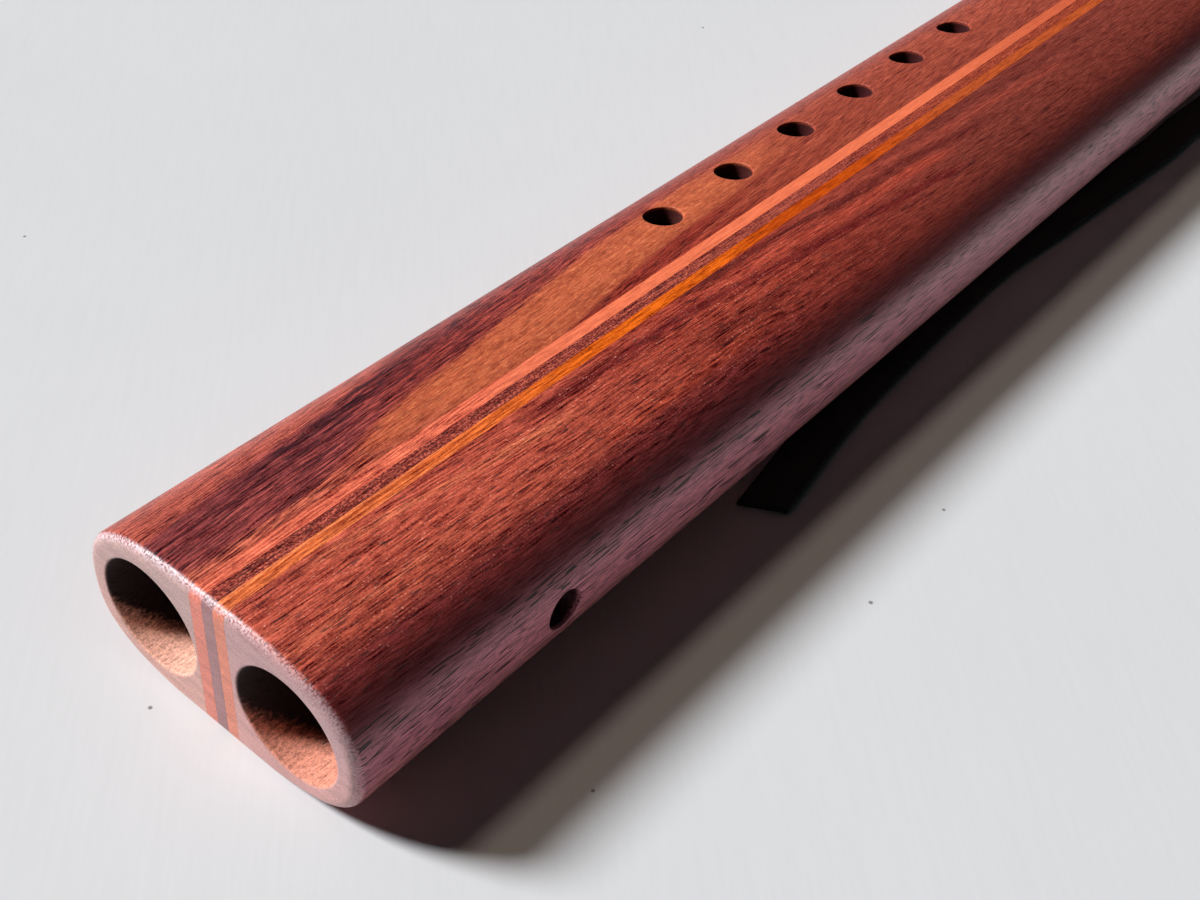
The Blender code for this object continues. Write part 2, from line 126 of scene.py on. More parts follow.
# ---------------------------------------------------------------- node fields
class Field:
    """A socket of a node tree that sums and products can be made of."""

    def __init__(self, tree, socket):
        self.tree, self.socket = tree, socket

    def made(self, kind, values, out=0, **settings):
        node = self.tree.nodes.new(kind)
        for key, value in settings.items():
            setattr(node, key, value)
        for slot, value in values.items():
            if isinstance(value, Field):
                self.tree.links.new(value.socket, node.inputs[slot])
            else:
                node.inputs[slot].default_value = value
        return Field(self.tree, node.outputs[out])

    def math(self, operation, *others, clamp=False):
        return self.made("ShaderNodeMath", dict(enumerate((self, *others))), operation=operation, use_clamp=clamp)

    def __add__(self, other):
        return self.math("ADD", other)

    def __sub__(self, other):
        return self.math("SUBTRACT", other)

    def __mul__(self, other):
        return self.math("MULTIPLY", other)

    def __neg__(self):
        return self.math("MULTIPLY", -1.0)

    __radd__, __rmul__ = __add__, __mul__

    def __rsub__(self, other):
        return -self + other

    def abs(self):
        return self.math("ABSOLUTE")

    def clamped(self):
        return self.math("ADD", 0.0, clamp=True)

    def step(self, low, high, a=0.0, b=1.0):
        """Smoothly from a to b as the value goes from low to high."""
        return self.made(
            "ShaderNodeMapRange", {"Value": self, "From Min": low, "From Max": high, "To Min": a, "To Max": b}, interpolation_type="SMOOTHSTEP"
        )

    def line(self, low, high, a=0.0, b=1.0):
        return self.made("ShaderNodeMapRange", {"Value": self, "From Min": low, "From Max": high, "To Min": a, "To Max": b})

    def curve(self, points):
        """A smooth curve through (value, result) points, level beyond its ends."""
        xs, ys = [p[0] for p in points], [p[1] for p in points]
        x0, x1, y0, y1 = xs[0], xs[-1], min(ys), max(ys)
        y1 = max(y1, y0 + 1e-6)
        node = self.tree.nodes.new("ShaderNodeFloatCurve")
        dots = node.mapping.curves[0].points
        at = [((x - x0) / (x1 - x0), (y - y0) / (y1 - y0)) for x, y in points]
        dots[0].location, dots[1].location = at[0], at[-1]
        for place in at[1:-1]:
            dots.new(*place)
        node.mapping.update()
        for dot in dots:
            dot.handle_type = "AUTO_CLAMPED"
        node.mapping.update()
        self.tree.links.new(self.line(x0, x1).socket, node.inputs["Value"])
        return Field(self.tree, node.outputs[0]) * (y1 - y0) + y0


def joined(x, y, z):
    first = next(v for v in (x, y, z) if isinstance(v, Field))
    return first.made("ShaderNodeCombineXYZ", {"X": x, "Y": y, "Z": z})


def noise(vector, detail=3.0, roughness=0.55, distortion=0.0, scale=1.0):
    values = {"Vector": vector, "Scale": scale, "Detail": detail, "Roughness": roughness, "Distortion": distortion}
    return vector.made("ShaderNodeTexNoise", values)


def mixed(fac, a, b, kind="MIX"):
    """Colour a turned into colour b by a field."""
    values = {0: fac, 6: a if isinstance(a, Field) else (*a, 1), 7: b if isinstance(b, Field) else (*b, 1)}
    return fac.made("ShaderNodeMix", values, out=2, data_type="RGBA", blend_type=kind)


def grey(field):
    return joined(field, field, field)


def material(name):
    made = bpy.data.materials.new(name)
    made.use_nodes = True
    tree = made.node_tree
    shader = tree.nodes["Principled BSDF"]
    where = tree.nodes.new("ShaderNodeTexCoord")
    apart = tree.nodes.new("ShaderNodeSeparateXYZ")
    tree.links.new(where.outputs["Object"], apart.inputs[0])
    x, y, z = (Field(tree, apart.outputs[k]) * 1000.0 for k in range(3))
    return made, tree, shader, x, y + 300.0, z - 15.9


def plug(tree, field, shader, name):
    tree.links.new(field.socket, shader.inputs[name])


def bumped(tree, shader, layers):
    """Bumps on top of each other: (height field, strength, distance in mm)."""
    normal = None
    for height, strength, distance in layers:
        node = tree.nodes.new("ShaderNodeBump")
        node.inputs["Strength"].default_value = strength
        node.inputs["Distance"].default_value = distance * MM
        tree.links.new(height.socket, node.inputs["Height"])
        if normal:
            tree.links.new(normal, node.inputs["Normal"])
        normal = node.outputs["Normal"]
    tree.links.new(normal, shader.inputs["Normal"])

# ---------------------------------------------------------------- woods
def tone(r, g, b):
    """A colour given as it looks on a screen."""
    return tuple(v / 255 / 12.92 if v < 10.3 else ((v / 255 + 0.055) / 1.055) ** 2.4 for v in (r, g, b))


def place_in_board(tree):
    """Arc from the top's middle, distance from the foot, and share of the way out from the core."""
    node = tree.nodes.new("ShaderNodeAttribute")
    node.attribute_name = "grain"
    apart = tree.nodes.new("ShaderNodeSeparateXYZ")
    tree.links.new(node.outputs["Vector"], apart.inputs[0])
    return [Field(tree, apart.outputs[k]) for k in range(3)]


class Grain:
    """What every board shares: slow streaks, fibres and pores drawn out along the pipe."""

    def __init__(self, x, y, z, arc, seed, lean, pore=0.60):
        drift = noise(joined(x * 0.07, y * 0.011 + seed, z * 0.07), detail=2.0) - 0.5
        self.u = x + y * lean + drift * 5.0 + seed * 31.0
        self.w = z + seed * 13.0 + drift * 3.0
        self.y, self.arc, self.calm = y, arc, 0.0
        self.streaks = self.drawn(0.40, 0.008, 4.0, 0.62) - 0.5
        self.fibres = self.drawn(1.05, 0.030, 5.0, 0.68) - 0.5
        self.hairs = self.drawn(3.2, 0.20, 1.0, 0.6) - 0.5
        self.lines = self.drawn(3.0, 0.07, 0.0, 0.5).step(0.61, 0.65)
        self.pores = self.drawn(3.9, 0.32, 0.0, 0.5).step(pore, pore + 0.04)
        # painted glints: light flecks that stand in for pores catching the light
        self.painted_glints = self.drawn(3.6, 0.8, 0.0, 0.5).step(0.66, 0.72)
        self.dust = noise(joined(x * 3.0, y * 2.2, z * 3.0), detail=2.0, roughness=0.7) - 0.5

    def drawn(self, across, along, detail, roughness):
        return noise(joined(self.u * across, self.y * along, self.w * across), detail=detail, roughness=roughness)


def inside(v, low, high, soft):
    """1 between two edges, either of which may be a field."""
    return (v - low).step(-soft, soft) * (v - high).step(-soft, soft, 1.0, 0.0)


def stroke(s, y, start, end, half, breakup=None):
    """A thin line in the wood from (distance, arc) to (distance, arc) that thins out at both ends."""
    middle = y.line(start[0], end[0], start[1], end[1])
    long = end[0] - start[0]
    reach = y.step(start[0], start[0] + 0.3 * long) * y.step(end[0] - 0.4 * long, end[0], 1.0, 0.0)
    off = s - middle if breakup is None else s - middle + breakup
    return off.abs().step(0.0, half, 1.0, 0.0) * reach


def band(s, y, path, half, soft=0.7, fade=(9.0, 14.0)):
    """A soft-edged streak of the wood along (distance, arc) points; half is its half width."""
    reach = y.step(path[0][0], path[0][0] + fade[0]) * y.step(path[-1][0] - fade[1], path[-1][0], 1.0, 0.0)
    return ((s - y.curve(path)).abs() - half).step(-soft, soft, 1.0, 0.0) * reach


def finished(name, paint, end_tone, seed, lean=0.0, pore=0.60, pore_dark=0.7, contrast=1.0, rough=0.38, bore_shade_and_light_tones=None, ends_at=(0.0, 600.0), shine=0.3, sheen=0.0, side=0):
    """An oiled, sanded wood. paint gives its figure from (arc, distance, grain); the ends are paler and duller, and the
    bores duller, with a painted pool of light just inside the foot and painted shade beyond.
    """
    made, tree, shader, x, y, z = material(name)
    s, along, out = place_in_board(tree) if ends_at == (0.0, 600.0) else (x, y, z)
    grain = Grain(x, y, z, s, seed, lean, pore)
    colour = paint(s + grain.streaks * 4.0 + grain.fibres * 2.2 + grain.hairs * 1.3, along, grain)
    # grain contrast, with the painted glints as small light flecks
    lively = grain.streaks * 0.6 + grain.fibres * 1.0 + grain.hairs * 2.9 + grain.dust * 1.7 - grain.lines * 0.23 + grain.painted_glints * 0.22
    clear = grain.calm * -0.6 + 1.0 if isinstance(grain.calm, Field) else grain.streaks * 0.0 + 1.0
    clear = clear * along.curve([(0, 1.0), (100, 1.0), (150, 0.66), (200, 0.58), (330, 0.6), (420, 0.85), (600, 0.9)])
    lively = lively * clear * contrast
    colour = mixed(lively * 0.0 + 1.0, colour, joined(lively + 1.0, lively * 1.25 + 1.0, lively * 1.15 + 1.0), "MULTIPLY")
    end = (along.step(ends_at[0] + 0.1, ends_at[0] + 1.2, 1.0, 0.0) + along.step(ends_at[1] - 1.0, ends_at[1] - 0.15)).clamped()
    colour = mixed(grain.pores * (1.0 - end * 0.6) * clear * pore_dark, colour, tone(40, 15, 19))
    # walls of drilled holes, darkened: painted shade inside the holes, and end grain that drank more oil
    walls = out.step(0.93, 0.975, 1.0, 0.0) * inside(along, 4.0, 380.0, 1.0)
    colour = mixed(walls * (0.9 if bore_shade_and_light_tones else 0.0), colour, tone(58, 27, 34))
    # end grain: sanded and dull, with faint rings and dots
    rings = (noise(joined(x * 0.12 + seed, z * 0.55 + x * 0.05, 0.0), detail=5.0, roughness=0.7) - 0.5) * 1.0
    specks = noise(joined(x * 2.6, 0.0, z * 2.6), detail=3.0, roughness=0.7) - 0.5
    rings = rings + specks * 1.5 + grain.dust * 0.7 + 1.0
    # on the boards, warmer and brighter towards the bottom of the end face: painted bounce light from the table; greyer
    # at the top
    ends = mixed((z + specks * 8.0).step(-14.0, 12.0), end_tone, tuple(v * k for v, k in zip(end_tone, (0.78, 0.93, 1.02)))) if side else mixed(rings * 0.0, end_tone, end_tone)
    ends = mixed(rings * 0.0 + 1.0, ends, grey(rings), "MULTIPLY")
    colour = mixed(end * 0.88, colour, mixed(specks.step(0.10, 0.2) * 0.5, ends, tone(112, 72, 72)))
    # the rounded rim of the foot and mouth: a painted highlight, whitest on top and on the melody side, where the key
    # light glints along it
    rim = inside(along, ends_at[0] + 0.35, ends_at[0] + 1.25, 0.3)
    painted_rim_highlight = rim * (grain.dust * 4.0 + specks * 3.0 + 0.55).clamped() * z.step(-2.0, 9.0, 0.25, 1.0) * x.step(2.0, 17.0, 1.0, 0.4)
    colour = mixed(painted_rim_highlight * 0.8, colour, tone(252, 232, 240))
    rough_field = grain.pores * 0.22 + grain.hairs * 0.35 + end * 0.04 - along.step(ends_at[0], ends_at[0] + 2.6, 0.08, 0.0) + rough
    relief = grain.hairs * 0.8 + grain.dust * 0.5
    # the nest under the blocks: planed after oiling, so lighter and dull
    planed = inside(along, 386.0, 484.0, 2.0) * out.step(0.94, 0.99, 1.0, 0.0) * (1.0 if ends_at == (0.0, 600.0) else 0.0)
    colour = mixed(planed * 0.4, colour, mixed(grain.fibres.step(-0.1, 0.12), tone(176, 104, 84), tone(140, 72, 58)))
    rough_field = rough_field + planed * 0.3
    if bore_shade_and_light_tones:
        # bores: drilled and left raw and woolly, with a painted pool of light on the lower wall just inside the foot
        # and painted shade elsewhere and further up
        from_axis = ((x.abs() - PIPE_X).math("POWER", 2.0) + z.math("POWER", 2.0)).math("SQRT")
        raw = from_axis.step(11.05, 11.45, 1.0, 0.0) * along.step(380.0, 420.0, 1.0, 0.35) * along.step(534.0, 538.0, 1.0, 0.0)
        raw = raw * out.step(0.93, 0.975, 1.0, 0.0)
        wool = noise(joined(x * 1.7, y * 0.9, z * 1.7), detail=6.0, roughness=0.75) - 0.5
        # edge of the painted light patch: where the key light shines in through the open foot onto the lower outer wall
        low = (x - PIPE_X * side) * 0.72 - z * 0.70 - along * 1.4
        painted_light_patch = (low + wool * 9.0).step(-7.0, -1.0)
        shade = wool * 2.2 + grain.hairs * 0.9 + grain.fibres * 0.7 + grain.dust * 1.6 + 1.0
        walls = mixed(shade * 0.0 + 1.0, mixed(painted_light_patch, bore_shade_and_light_tones[0], bore_shade_and_light_tones[1]), grey(shade), "MULTIPLY")
        # painted shade deeper in the bore, past where the light through the foot reaches
        walls = mixed(along.step(7.0, 21.0), walls, mixed(grain.fibres.step(0.0, 0.16), tone(22, 13, 15), tone(48, 24, 26)))
        colour = mixed(raw, colour, walls)
        rough_field = rough_field + raw * 0.35
        relief = relief + wool * raw * 5.0
    plug(tree, colour, shader, "Base Color")
    plug(tree, rough_field.clamped(), shader, "Roughness")
    shader.inputs["Specular IOR Level"].default_value = shine
    shader.inputs["Sheen Weight"].default_value = sheen
    shader.inputs["Sheen Roughness"].default_value = 0.35
    bumped(tree, shader, [(-grain.pores, 0.6, 0.05), (relief, 0.55, 0.06)])
    return made


def paint_melody(s, y, grain):
    colour = mixed(y.step(30, 200), tone(160, 70, 58), tone(168, 77, 59))
    # shoulder over the outer edge: brown near the foot, red-brown further on
    edge = y.curve([(0, -16.2), (10, -17.6), (20, -19.0), (36, -20.2), (48, -21.4), (58, -24.0), (70, -29.0), (80, -34.0)])
    colour = mixed((s - edge).step(-0.8, 0.8, 1.0, 0.0), colour, tone(174, 82, 68))
    colour = mixed(grain.arc.step(-24.5, -21.0, 0.5, 0.0) * y.step(50, 80), colour, tone(140, 56, 50))
    # the dark heart, wide at the foot and drawn out along the outer edge
    low = y.curve([(0, -5.4), (15, -5.8), (28, -6.8), (36, -8.4), (45, -10.8), (55, -12.4), (66, -13.6), (76, -14.7), (88, -16.5), (98, -17.7), (110, -19.0), (125, -20.4), (145, -22.0)])
    heart = inside(s, edge, low, 0.8) * y.step(104, 170, 1.0, 0.0)
    colour = mixed(heart * 0.92, colour, mixed(y.step(34, 64), tone(156, 70, 68), tone(152, 61, 54)))
    core = band(s, y, [(-30, -14.0), (8, -14.4), (24, -15.6), (42, -17.2), (58, -19.6), (72, -21.4), (90, -22.6)], y.curve([(0, 1.5), (24, 2.6), (50, 2.0), (90, 1.0)]), 1.6, (30, 16))
    often = core * -0.06 + 0.56
    fine = grain.drawn(2.9, 0.11, 0.0, 0.5).step(often, often + 0.05)
    finer = grain.drawn(3.6, 0.24, 0.0, 0.5).step(often, often + 0.06)
    depth = y.curve([(0, 0.45), (25, 0.6), (45, 0.75), (110, 0.35)])
    colour = mixed(heart * fine * depth, colour, tone(54, 18, 29))
    colour = mixed(heart * finer * depth * 0.8, colour, tone(60, 22, 32))
    colour = mixed(core * heart * 0.28, colour, tone(92, 34, 42))
    for start, end, half, strength in (
        ((8, -15.6), (52, -19.4), 0.40, 0.95),
        ((14, -16.8), (62, -20.6), 0.34, 0.95),
        ((30, -17.2), (70, -20.4), 0.28, 0.9),
        ((38, -20.6), (88, -23.0), 0.36, 0.85),
        ((18, -14.8), (50, -16.2), 0.26, 0.85),
        ((2, -13.6), (48, -14.8), 0.24, 0.8),
        ((6, -12.4), (40, -13.4), 0.22, 0.7),
        ((20, -11.6), (36, -12.0), 0.20, 0.8),
        ((2, -9.2), (34, -9.9), 0.20, 0.6),
        ((22, -9.9), (34, -10.2), 0.20, 0.8),
        ((16, -7.4), (30, -7.7), 0.18, 0.7),
        ((56, -15.2), (70, -15.8), 0.22, 0.7),
        ((60, -16.2), (90, -17.8), 0.24, 0.5),
    ):
        colour = mixed(stroke(s, y, start, end, half, grain.fibres * 0.4) * strength, colour, tone(40, 14, 24))
    # the orange flame between the heart and the coral strip, round the first finger holes
    under = y.curve([(80, -3.6), (90, -4.9), (104, -6.6), (116, -8.2), (130, -9.4), (146, -9.9), (162, -10.6), (180, -12.0), (200, -14.0)])
    flame = (s - low).step(-0.3, 1.6) * (s - under).step(-0.8, 0.8, 1.0, 0.0) * y.step(32, 56) * y.step(130, 200, 1.0, 0.0)
    colour = mixed(flame * 0.94, colour, tone(194, 95, 63))
    glow = band(s, y, [(36, -6.0), (60, -7.6), (82, -9.4), (110, -12.6), (130, -13.8), (150, -15.8), (176, -18.0)], 2.4, 1.6)
    colour = mixed(glow * 0.6, colour, tone(212, 108, 72))
    curls = noise(joined(grain.u * 1.7, grain.y * 0.55, grain.w * 1.7), detail=3.0, roughness=0.6, distortion=0.7) - 0.5
    colour = mixed(flame * curls.step(0.03, 0.12) * 0.5, colour, tone(228, 132, 88))
    colour = mixed(flame * curls.step(-0.13, -0.03, 1.0, 0.0) * 0.45, colour, tone(152, 66, 44))
    grain.calm = flame
    # brown-orange streaks beside the coral strip near the foot
    beside = inside(s, -6.6, -4.0, 0.7) * y.step(46, 66, 1.0, 0.0)
    colour = mixed(beside * (grain.hairs * 3.0 + 0.55).clamped(), colour, tone(198, 98, 76))
    # red-brown feather beside the strip
    feather = (s - under).step(-0.6, 0.9) * y.step(80, 92) * y.step(150, 230, 1.0, 0.0)
    colour = mixed(feather * 0.85, colour, mixed(y.step(134, 160), tone(148, 52, 41), tone(160, 68, 50)))
    for path, half, strength in (
        ([(128, -5.2), (150, -7.0), (176, -9.4), (200, -12.4)], 0.7, 0.55),
        ([(176, -4.8), (204, -7.6), (236, -10.8), (262, -13.8)], 0.9, 0.35),
        ([(230, -12.0), (262, -15.6), (300, -20.0)], 1.0, 0.35),
        ([(280, -6.0), (330, -10.0), (384, -14.0)], 1.2, 0.3),
    ):
        colour = mixed(band(s, y, path, half, 0.8) * strength, colour, tone(190, 92, 68))
    for path, half, strength in (
        ([(150, -8.6), (172, -10.6), (196, -13.6), (216, -17.0)], 0.6, 0.4),
        ([(216, -4.6), (250, -5.6), (290, -6.6)], 1.1, 0.4),
        ([(206, -9.8), (240, -13.6), (270, -18.0)], 0.8, 0.3),
        ([(300, -15.0), (350, -18.0), (390, -21.0)], 1.2, 0.35),
    ):
        colour = mixed(band(s, y, path, half, 0.8) * strength, colour, tone(132, 52, 44))
    for start, end, half, strength in (
        ((88, -5.0), (130, -8.4), 0.28, 0.5),
        ((112, -5.2), (140, -6.6), 0.25, 0.4),
        ((150, -10.5), (212, -14.6), 0.35, 0.3),
        ((170, -6.6), (260, -9.0), 0.35, 0.3),
    ):
        colour = mixed(stroke(s, y, start, end, half, grain.fibres * 0.7) * strength, colour, tone(92, 34, 32))
    return colour


def paint_drone(s, y, grain):
    arc = grain.arc
    colour = mixed(y.step(55, 112), tone(192, 85, 66), tone(160, 63, 49))
    colour = mixed(y.step(136, 214), colour, tone(140, 62, 51))
    # lighter and darker streaks that leave the amber strip at a slant
    for path, half, strength, shade in (
        ([(10, 5.0), (30, 6.8), (45, 8.6), (62, 10.6), (78, 11.9)], 0.8, 0.60, tone(216, 114, 80)),
        ([(-20, 15.6), (4, 15.8), (20, 16.2), (44, 16.5)], 0.55, 0.65, tone(218, 112, 82)),
        ([(2, 4.4), (16, 5.2), (28, 6.2)], 0.7, 0.45, tone(140, 54, 48)),
        ([(-20, 11.0), (10, 11.4), (40, 12.4)], 0.5, 0.35, tone(206, 100, 76)),
        ([(96, 5.0), (110, 5.8), (128, 8.1), (140, 8.8), (152, 10.2), (166, 11.2), (184, 11.8), (206, 14.4)], 1.1, 0.85, tone(186, 76, 58)),
        ([(84, 11.2), (98, 11.9), (112, 12.0), (130, 14.2), (144, 15.4)], 0.8, 0.6, tone(178, 72, 54)),
        ([(150, 4.4), (166, 5.4), (184, 5.8), (202, 8.0), (222, 8.6), (242, 11.0), (264, 12.4)], 1.1, 0.70, tone(170, 74, 58)),
        ([(68, 19.2), (84, 20.0), (100, 20.2), (122, 20.2)], 0.9, 0.55, tone(212, 86, 60)),
        ([(60, 6.2), (72, 6.7), (86, 7.3), (98, 8.0), (110, 8.4), (120, 9.8), (130, 11.2), (146, 12.6), (166, 14.6), (184, 16.4), (204, 19.6)], y.curve([(60, 0.6), (84, 1.5), (104, 1.3), (124, 0.9), (204, 1.3)]), 0.92, tone(122, 38, 36)),
        ([(108, 3.9), (128, 5.0), (146, 5.6), (156, 7.0), (166, 8.1), (184, 8.7), (204, 11.2), (226, 13.6)], 0.9, 0.85, tone(112, 40, 36)),
        ([(100, 14.2), (120, 16.6), (146, 18.4), (170, 20.4)], 1.2, 0.55, tone(116, 40, 35)),
        ([(200, 4.8), (222, 5.4), (244, 7.6), (266, 8.6), (290, 11.0)], 1.0, 0.60, tone(116, 48, 42)),
        ([(270, 5.0), (300, 8.0), (340, 12.0), (384, 15.0)], 1.2, 0.35, tone(160, 74, 60)),
        ([(310, 4.5), (350, 7.0), (390, 9.5)], 1.2, 0.35, tone(112, 46, 42)),
    ):
        colour = mixed(band(s, y, path, half) * strength, colour, shade)
    # painted shade over the shoulder, which turns away from the key light, then a painted mauve sheen down the side:
    # the reflection of the bright table, turning warm brown low down where the shadowed table is reflected
    colour = mixed(arc.step(18.5, 24.0) * y.step(110, 190, 0.85, 0.2), colour, mixed(y.step(90, 130), tone(124, 44, 48), tone(138, 52, 48)))
    colour = mixed(arc.step(23.0, 27.0) * 0.45, colour, tone(96, 34, 36))
    colour = mixed(arc.step(25.0, 32.0) * 0.22, colour, tone(206, 116, 128))
    colour = mixed((arc + grain.fibres * 0.5).step(29.0, 37.5) * 0.97, colour, mixed(y.step(80, 230), mixed(y.step(0, 36), tone(212, 130, 142), tone(240, 148, 160)), tone(255, 184, 192)))
    colour = mixed(arc.step(41.5, 47.0) * 0.6, colour, tone(186, 110, 98))
    for start, end, half, strength in (
        ((6, 12.4), (30, 14.6), 0.16, 0.85),
        ((24, 14.0), (50, 16.0), 0.20, 0.85),
        ((52, 16.5), (78, 17.7), 0.22, 0.95),
        ((60, 17.4), (76, 17.6), 0.16, 0.8),
        ((3, 7.0), (36, 9.2), 0.14, 0.5),
        ((8, 10.0), (40, 11.0), 0.14, 0.5),
        ((12, 17.6), (40, 18.4), 0.16, 0.6),
        ((30, 19.2), (64, 20.2), 0.16, 0.5),
        ((66, 5.6), (96, 6.6), 0.26, 0.6),
        ((70, 12.2), (96, 12.9), 0.18, 0.6),
        ((85, 13.7), (110, 15.0), 0.22, 0.75),
        ((97, 9.0), (113, 10.8), 0.22, 0.75),
        ((102, 18.4), (122, 19.4), 0.26, 0.9),
        ((108, 3.9), (146, 5.1), 0.30, 0.75),
        ((138, 5.0), (164, 8.0), 0.32, 0.8),
        ((120, 15.1), (140, 15.4), 0.26, 0.9),
        ((130, 20.4), (160, 21.0), 0.26, 0.5),
        ((168, 17.9), (188, 19.4), 0.36, 0.8),
        ((190, 19.0), (206, 19.3), 0.34, 0.8),
        ((150, 22.2), (176, 22.4), 0.34, 0.5),
        ((200, 12.0), (262, 13.6), 0.4, 0.4),
        ((228, 19.0), (256, 19.4), 0.4, 0.45),
        ((262, 9.0), (330, 11.0), 0.4, 0.4),
        ((300, 16.0), (380, 18.4), 0.4, 0.4),
    ):
        colour = mixed(stroke(s, y, start, end, half, grain.fibres * 0.5) * strength, colour, tone(48, 16, 20))
    # painted glints: tiny pale specks where the wood catches the key light
    painted_sparkles = grain.drawn(3.8, 1.9, 0.0, 0.5).step(0.71, 0.76) * inside(arc, 5.0, 24.0, 3.0) * y.step(90, 190, 0.8, 0.25)
    colour = mixed(painted_sparkles * 0.7, colour, tone(236, 150, 130))
    # long broken pores down the side
    slots = grain.drawn(3.2, 0.13, 0.0, 0.5).step(0.62, 0.655) * arc.step(28.0, 32.0) * y.step(110, 200, 1.0, 0.6)
    grain.calm = arc.step(23.0, 30.0) * 0.9
    return mixed(slots * 0.92, colour, tone(44, 22, 28))


def paint_coral(s, y, grain):
    arc = grain.arc
    base = mixed(y.step(30, 120), tone(244, 124, 94), tone(255, 130, 90))
    base = mixed(y.step(200, 290), base, tone(226, 108, 72))
    reach = (arc * 2.4 + y - 61.0).step(-3.0, 3.0, 1.0, 0.0)
    lines = ((arc + y * 0.03 + grain.streaks * 0.5) * 8.6).math("SINE").step(-0.3, 0.9)
    base = mixed(lines * reach * (grain.fibres * 3.0 + 0.58).clamped(), base, tone(204, 78, 62))
    grain.calm = y.step(56, 76)
    return mixed(arc.step(-4.2, -3.6, 0.6, 0.0) * y.step(10, 60, 1.0, 0.0), base, tone(176, 78, 62))


def paint_dark(s, y, grain):
    base = mixed(y.step(150, 260), tone(172, 74, 61), tone(184, 78, 52))
    dots = grain.drawn(4.2, 1.9, 0.0, 0.5)
    colour = mixed(dots.step(0.41, 0.47, 0.6, 0.0) * y.step(90, 240, 1.0, 0.4), base, tone(204, 106, 86))
    colour = mixed(dots.step(0.50, 0.56) * y.step(90, 240, 0.72, 0.4), colour, tone(94, 36, 36))
    pink = inside(s, -0.5, 0.6, 0.4) * y.step(100, 125) * y.step(145, 190, 1.0, 0.0)
    return mixed(pink * 0.4, colour, tone(206, 104, 84))


def paint_orange(s, y, grain):
    arc = grain.arc + grain.streaks * 0.4
    base = mixed(y.step(20, 90), tone(250, 136, 84), tone(232, 104, 22))
    base = mixed(y.step(116, 150), base, tone(204, 80, 14))
    base = mixed(y.step(172, 230), base, tone(202, 92, 46))
    lines = stroke(arc, y, (-20, 2.35), (84, 1.95), 0.42) + stroke(arc, y, (-20, 3.05), (90, 2.85), 0.36) * 0.85 + stroke(arc, y, (-20, 3.55), (56, 3.45), 0.2) * 0.5
    lines = lines + ((arc + y * 0.01) * 9.4).math("SINE").step(0.2, 1.0) * 0.3
    return mixed(lines.clamped() * y.step(60, 110, 0.78, 0.35), base, tone(196, 72, 6))


def paint_plain(light, dark):
    """Straight-grained wood without a figure of its own."""

    def paint(s, y, grain):
        colour = mixed((grain.streaks * 2.6 + 0.5).clamped(), dark, light)
        lines = (grain.drawn(1.3, 0.02, 4.0, 0.6) - 0.5).step(0.02, 0.10)
        return mixed(lines * 0.45, colour, tuple(v * 0.45 for v in dark))

    return paint


def leather(name):
    made, tree, shader, x, y, z = material(name)
    soft = noise(joined(x * 0.35, y * 0.35, z * 0.35), detail=5.0)
    cells = soft.made("ShaderNodeTexVoronoi", {"Vector": joined(x, y, z), "Scale": 2.1}, feature="DISTANCE_TO_EDGE")
    creases = noise(joined(x * 0.9, y * 0.9, z * 0.9), detail=6.0, roughness=0.7)
    colour = mixed(soft.step(0.3, 0.7), (0.007, 0.007, 0.008), (0.017, 0.016, 0.017))
    colour = mixed(creases.step(0.56, 0.7) * 0.5, colour, (0.032, 0.030, 0.031))
    plug(tree, colour, shader, "Base Color")
    plug(tree, soft * 0.25 + 0.42, shader, "Roughness")
    bumped(tree, shader, [(cells.step(0.0, 0.09), 0.5, 0.09), (creases, 0.5, 0.12)])
    return made


WOODS = {
    "melody_walnut": finished("melody_walnut", paint_melody, tone(222, 172, 160), 1.3, lean=0.055, pore=0.66, pore_dark=0.6, bore_shade_and_light_tones=(tone(32, 18, 22), tone(242, 182, 160)), shine=0.22, sheen=0.08, side=-1),
    "drone_walnut": finished("drone_walnut", paint_drone, tone(214, 160, 154), 2.9, lean=-0.04, pore=0.68, pore_dark=0.6, bore_shade_and_light_tones=(tone(28, 15, 19), tone(228, 150, 126)), shine=0.4, side=1),
    "coral_wood": finished("coral_wood", paint_coral, tone(226, 132, 114), 4.1, pore=0.74, pore_dark=0.3, contrast=0.8),
    "dark_wood": finished("dark_wood", paint_dark, tone(164, 122, 124), 5.7, pore=0.64, contrast=0.9),
    "orange_wood": finished("orange_wood", paint_orange, tone(220, 134, 112), 6.2, pore=0.72, pore_dark=0.3, contrast=0.75),
    "plate_wood": finished("plate_wood", paint_plain(tone(84, 38, 30), tone(48, 21, 18)), tone(90, 50, 40), 7.7, pore_dark=0.5, contrast=0.8, ends_at=(400.5, 456.0)),
    "block_wood": finished("block_wood", paint_plain(tone(178, 84, 56), tone(112, 46, 38)), tone(150, 92, 72), 8.8, lean=0.04, ends_at=(401.5, 466.0)),
    "black_leather": leather("black_leather"),
}
slots = {row["node"]: row["material_slot"] for row in frame["record"]["subparts"]}
for name, node in frame["nodes"].items():
    node.data.materials.clear()
    node.data.materials.append(WOODS[slots[name]])

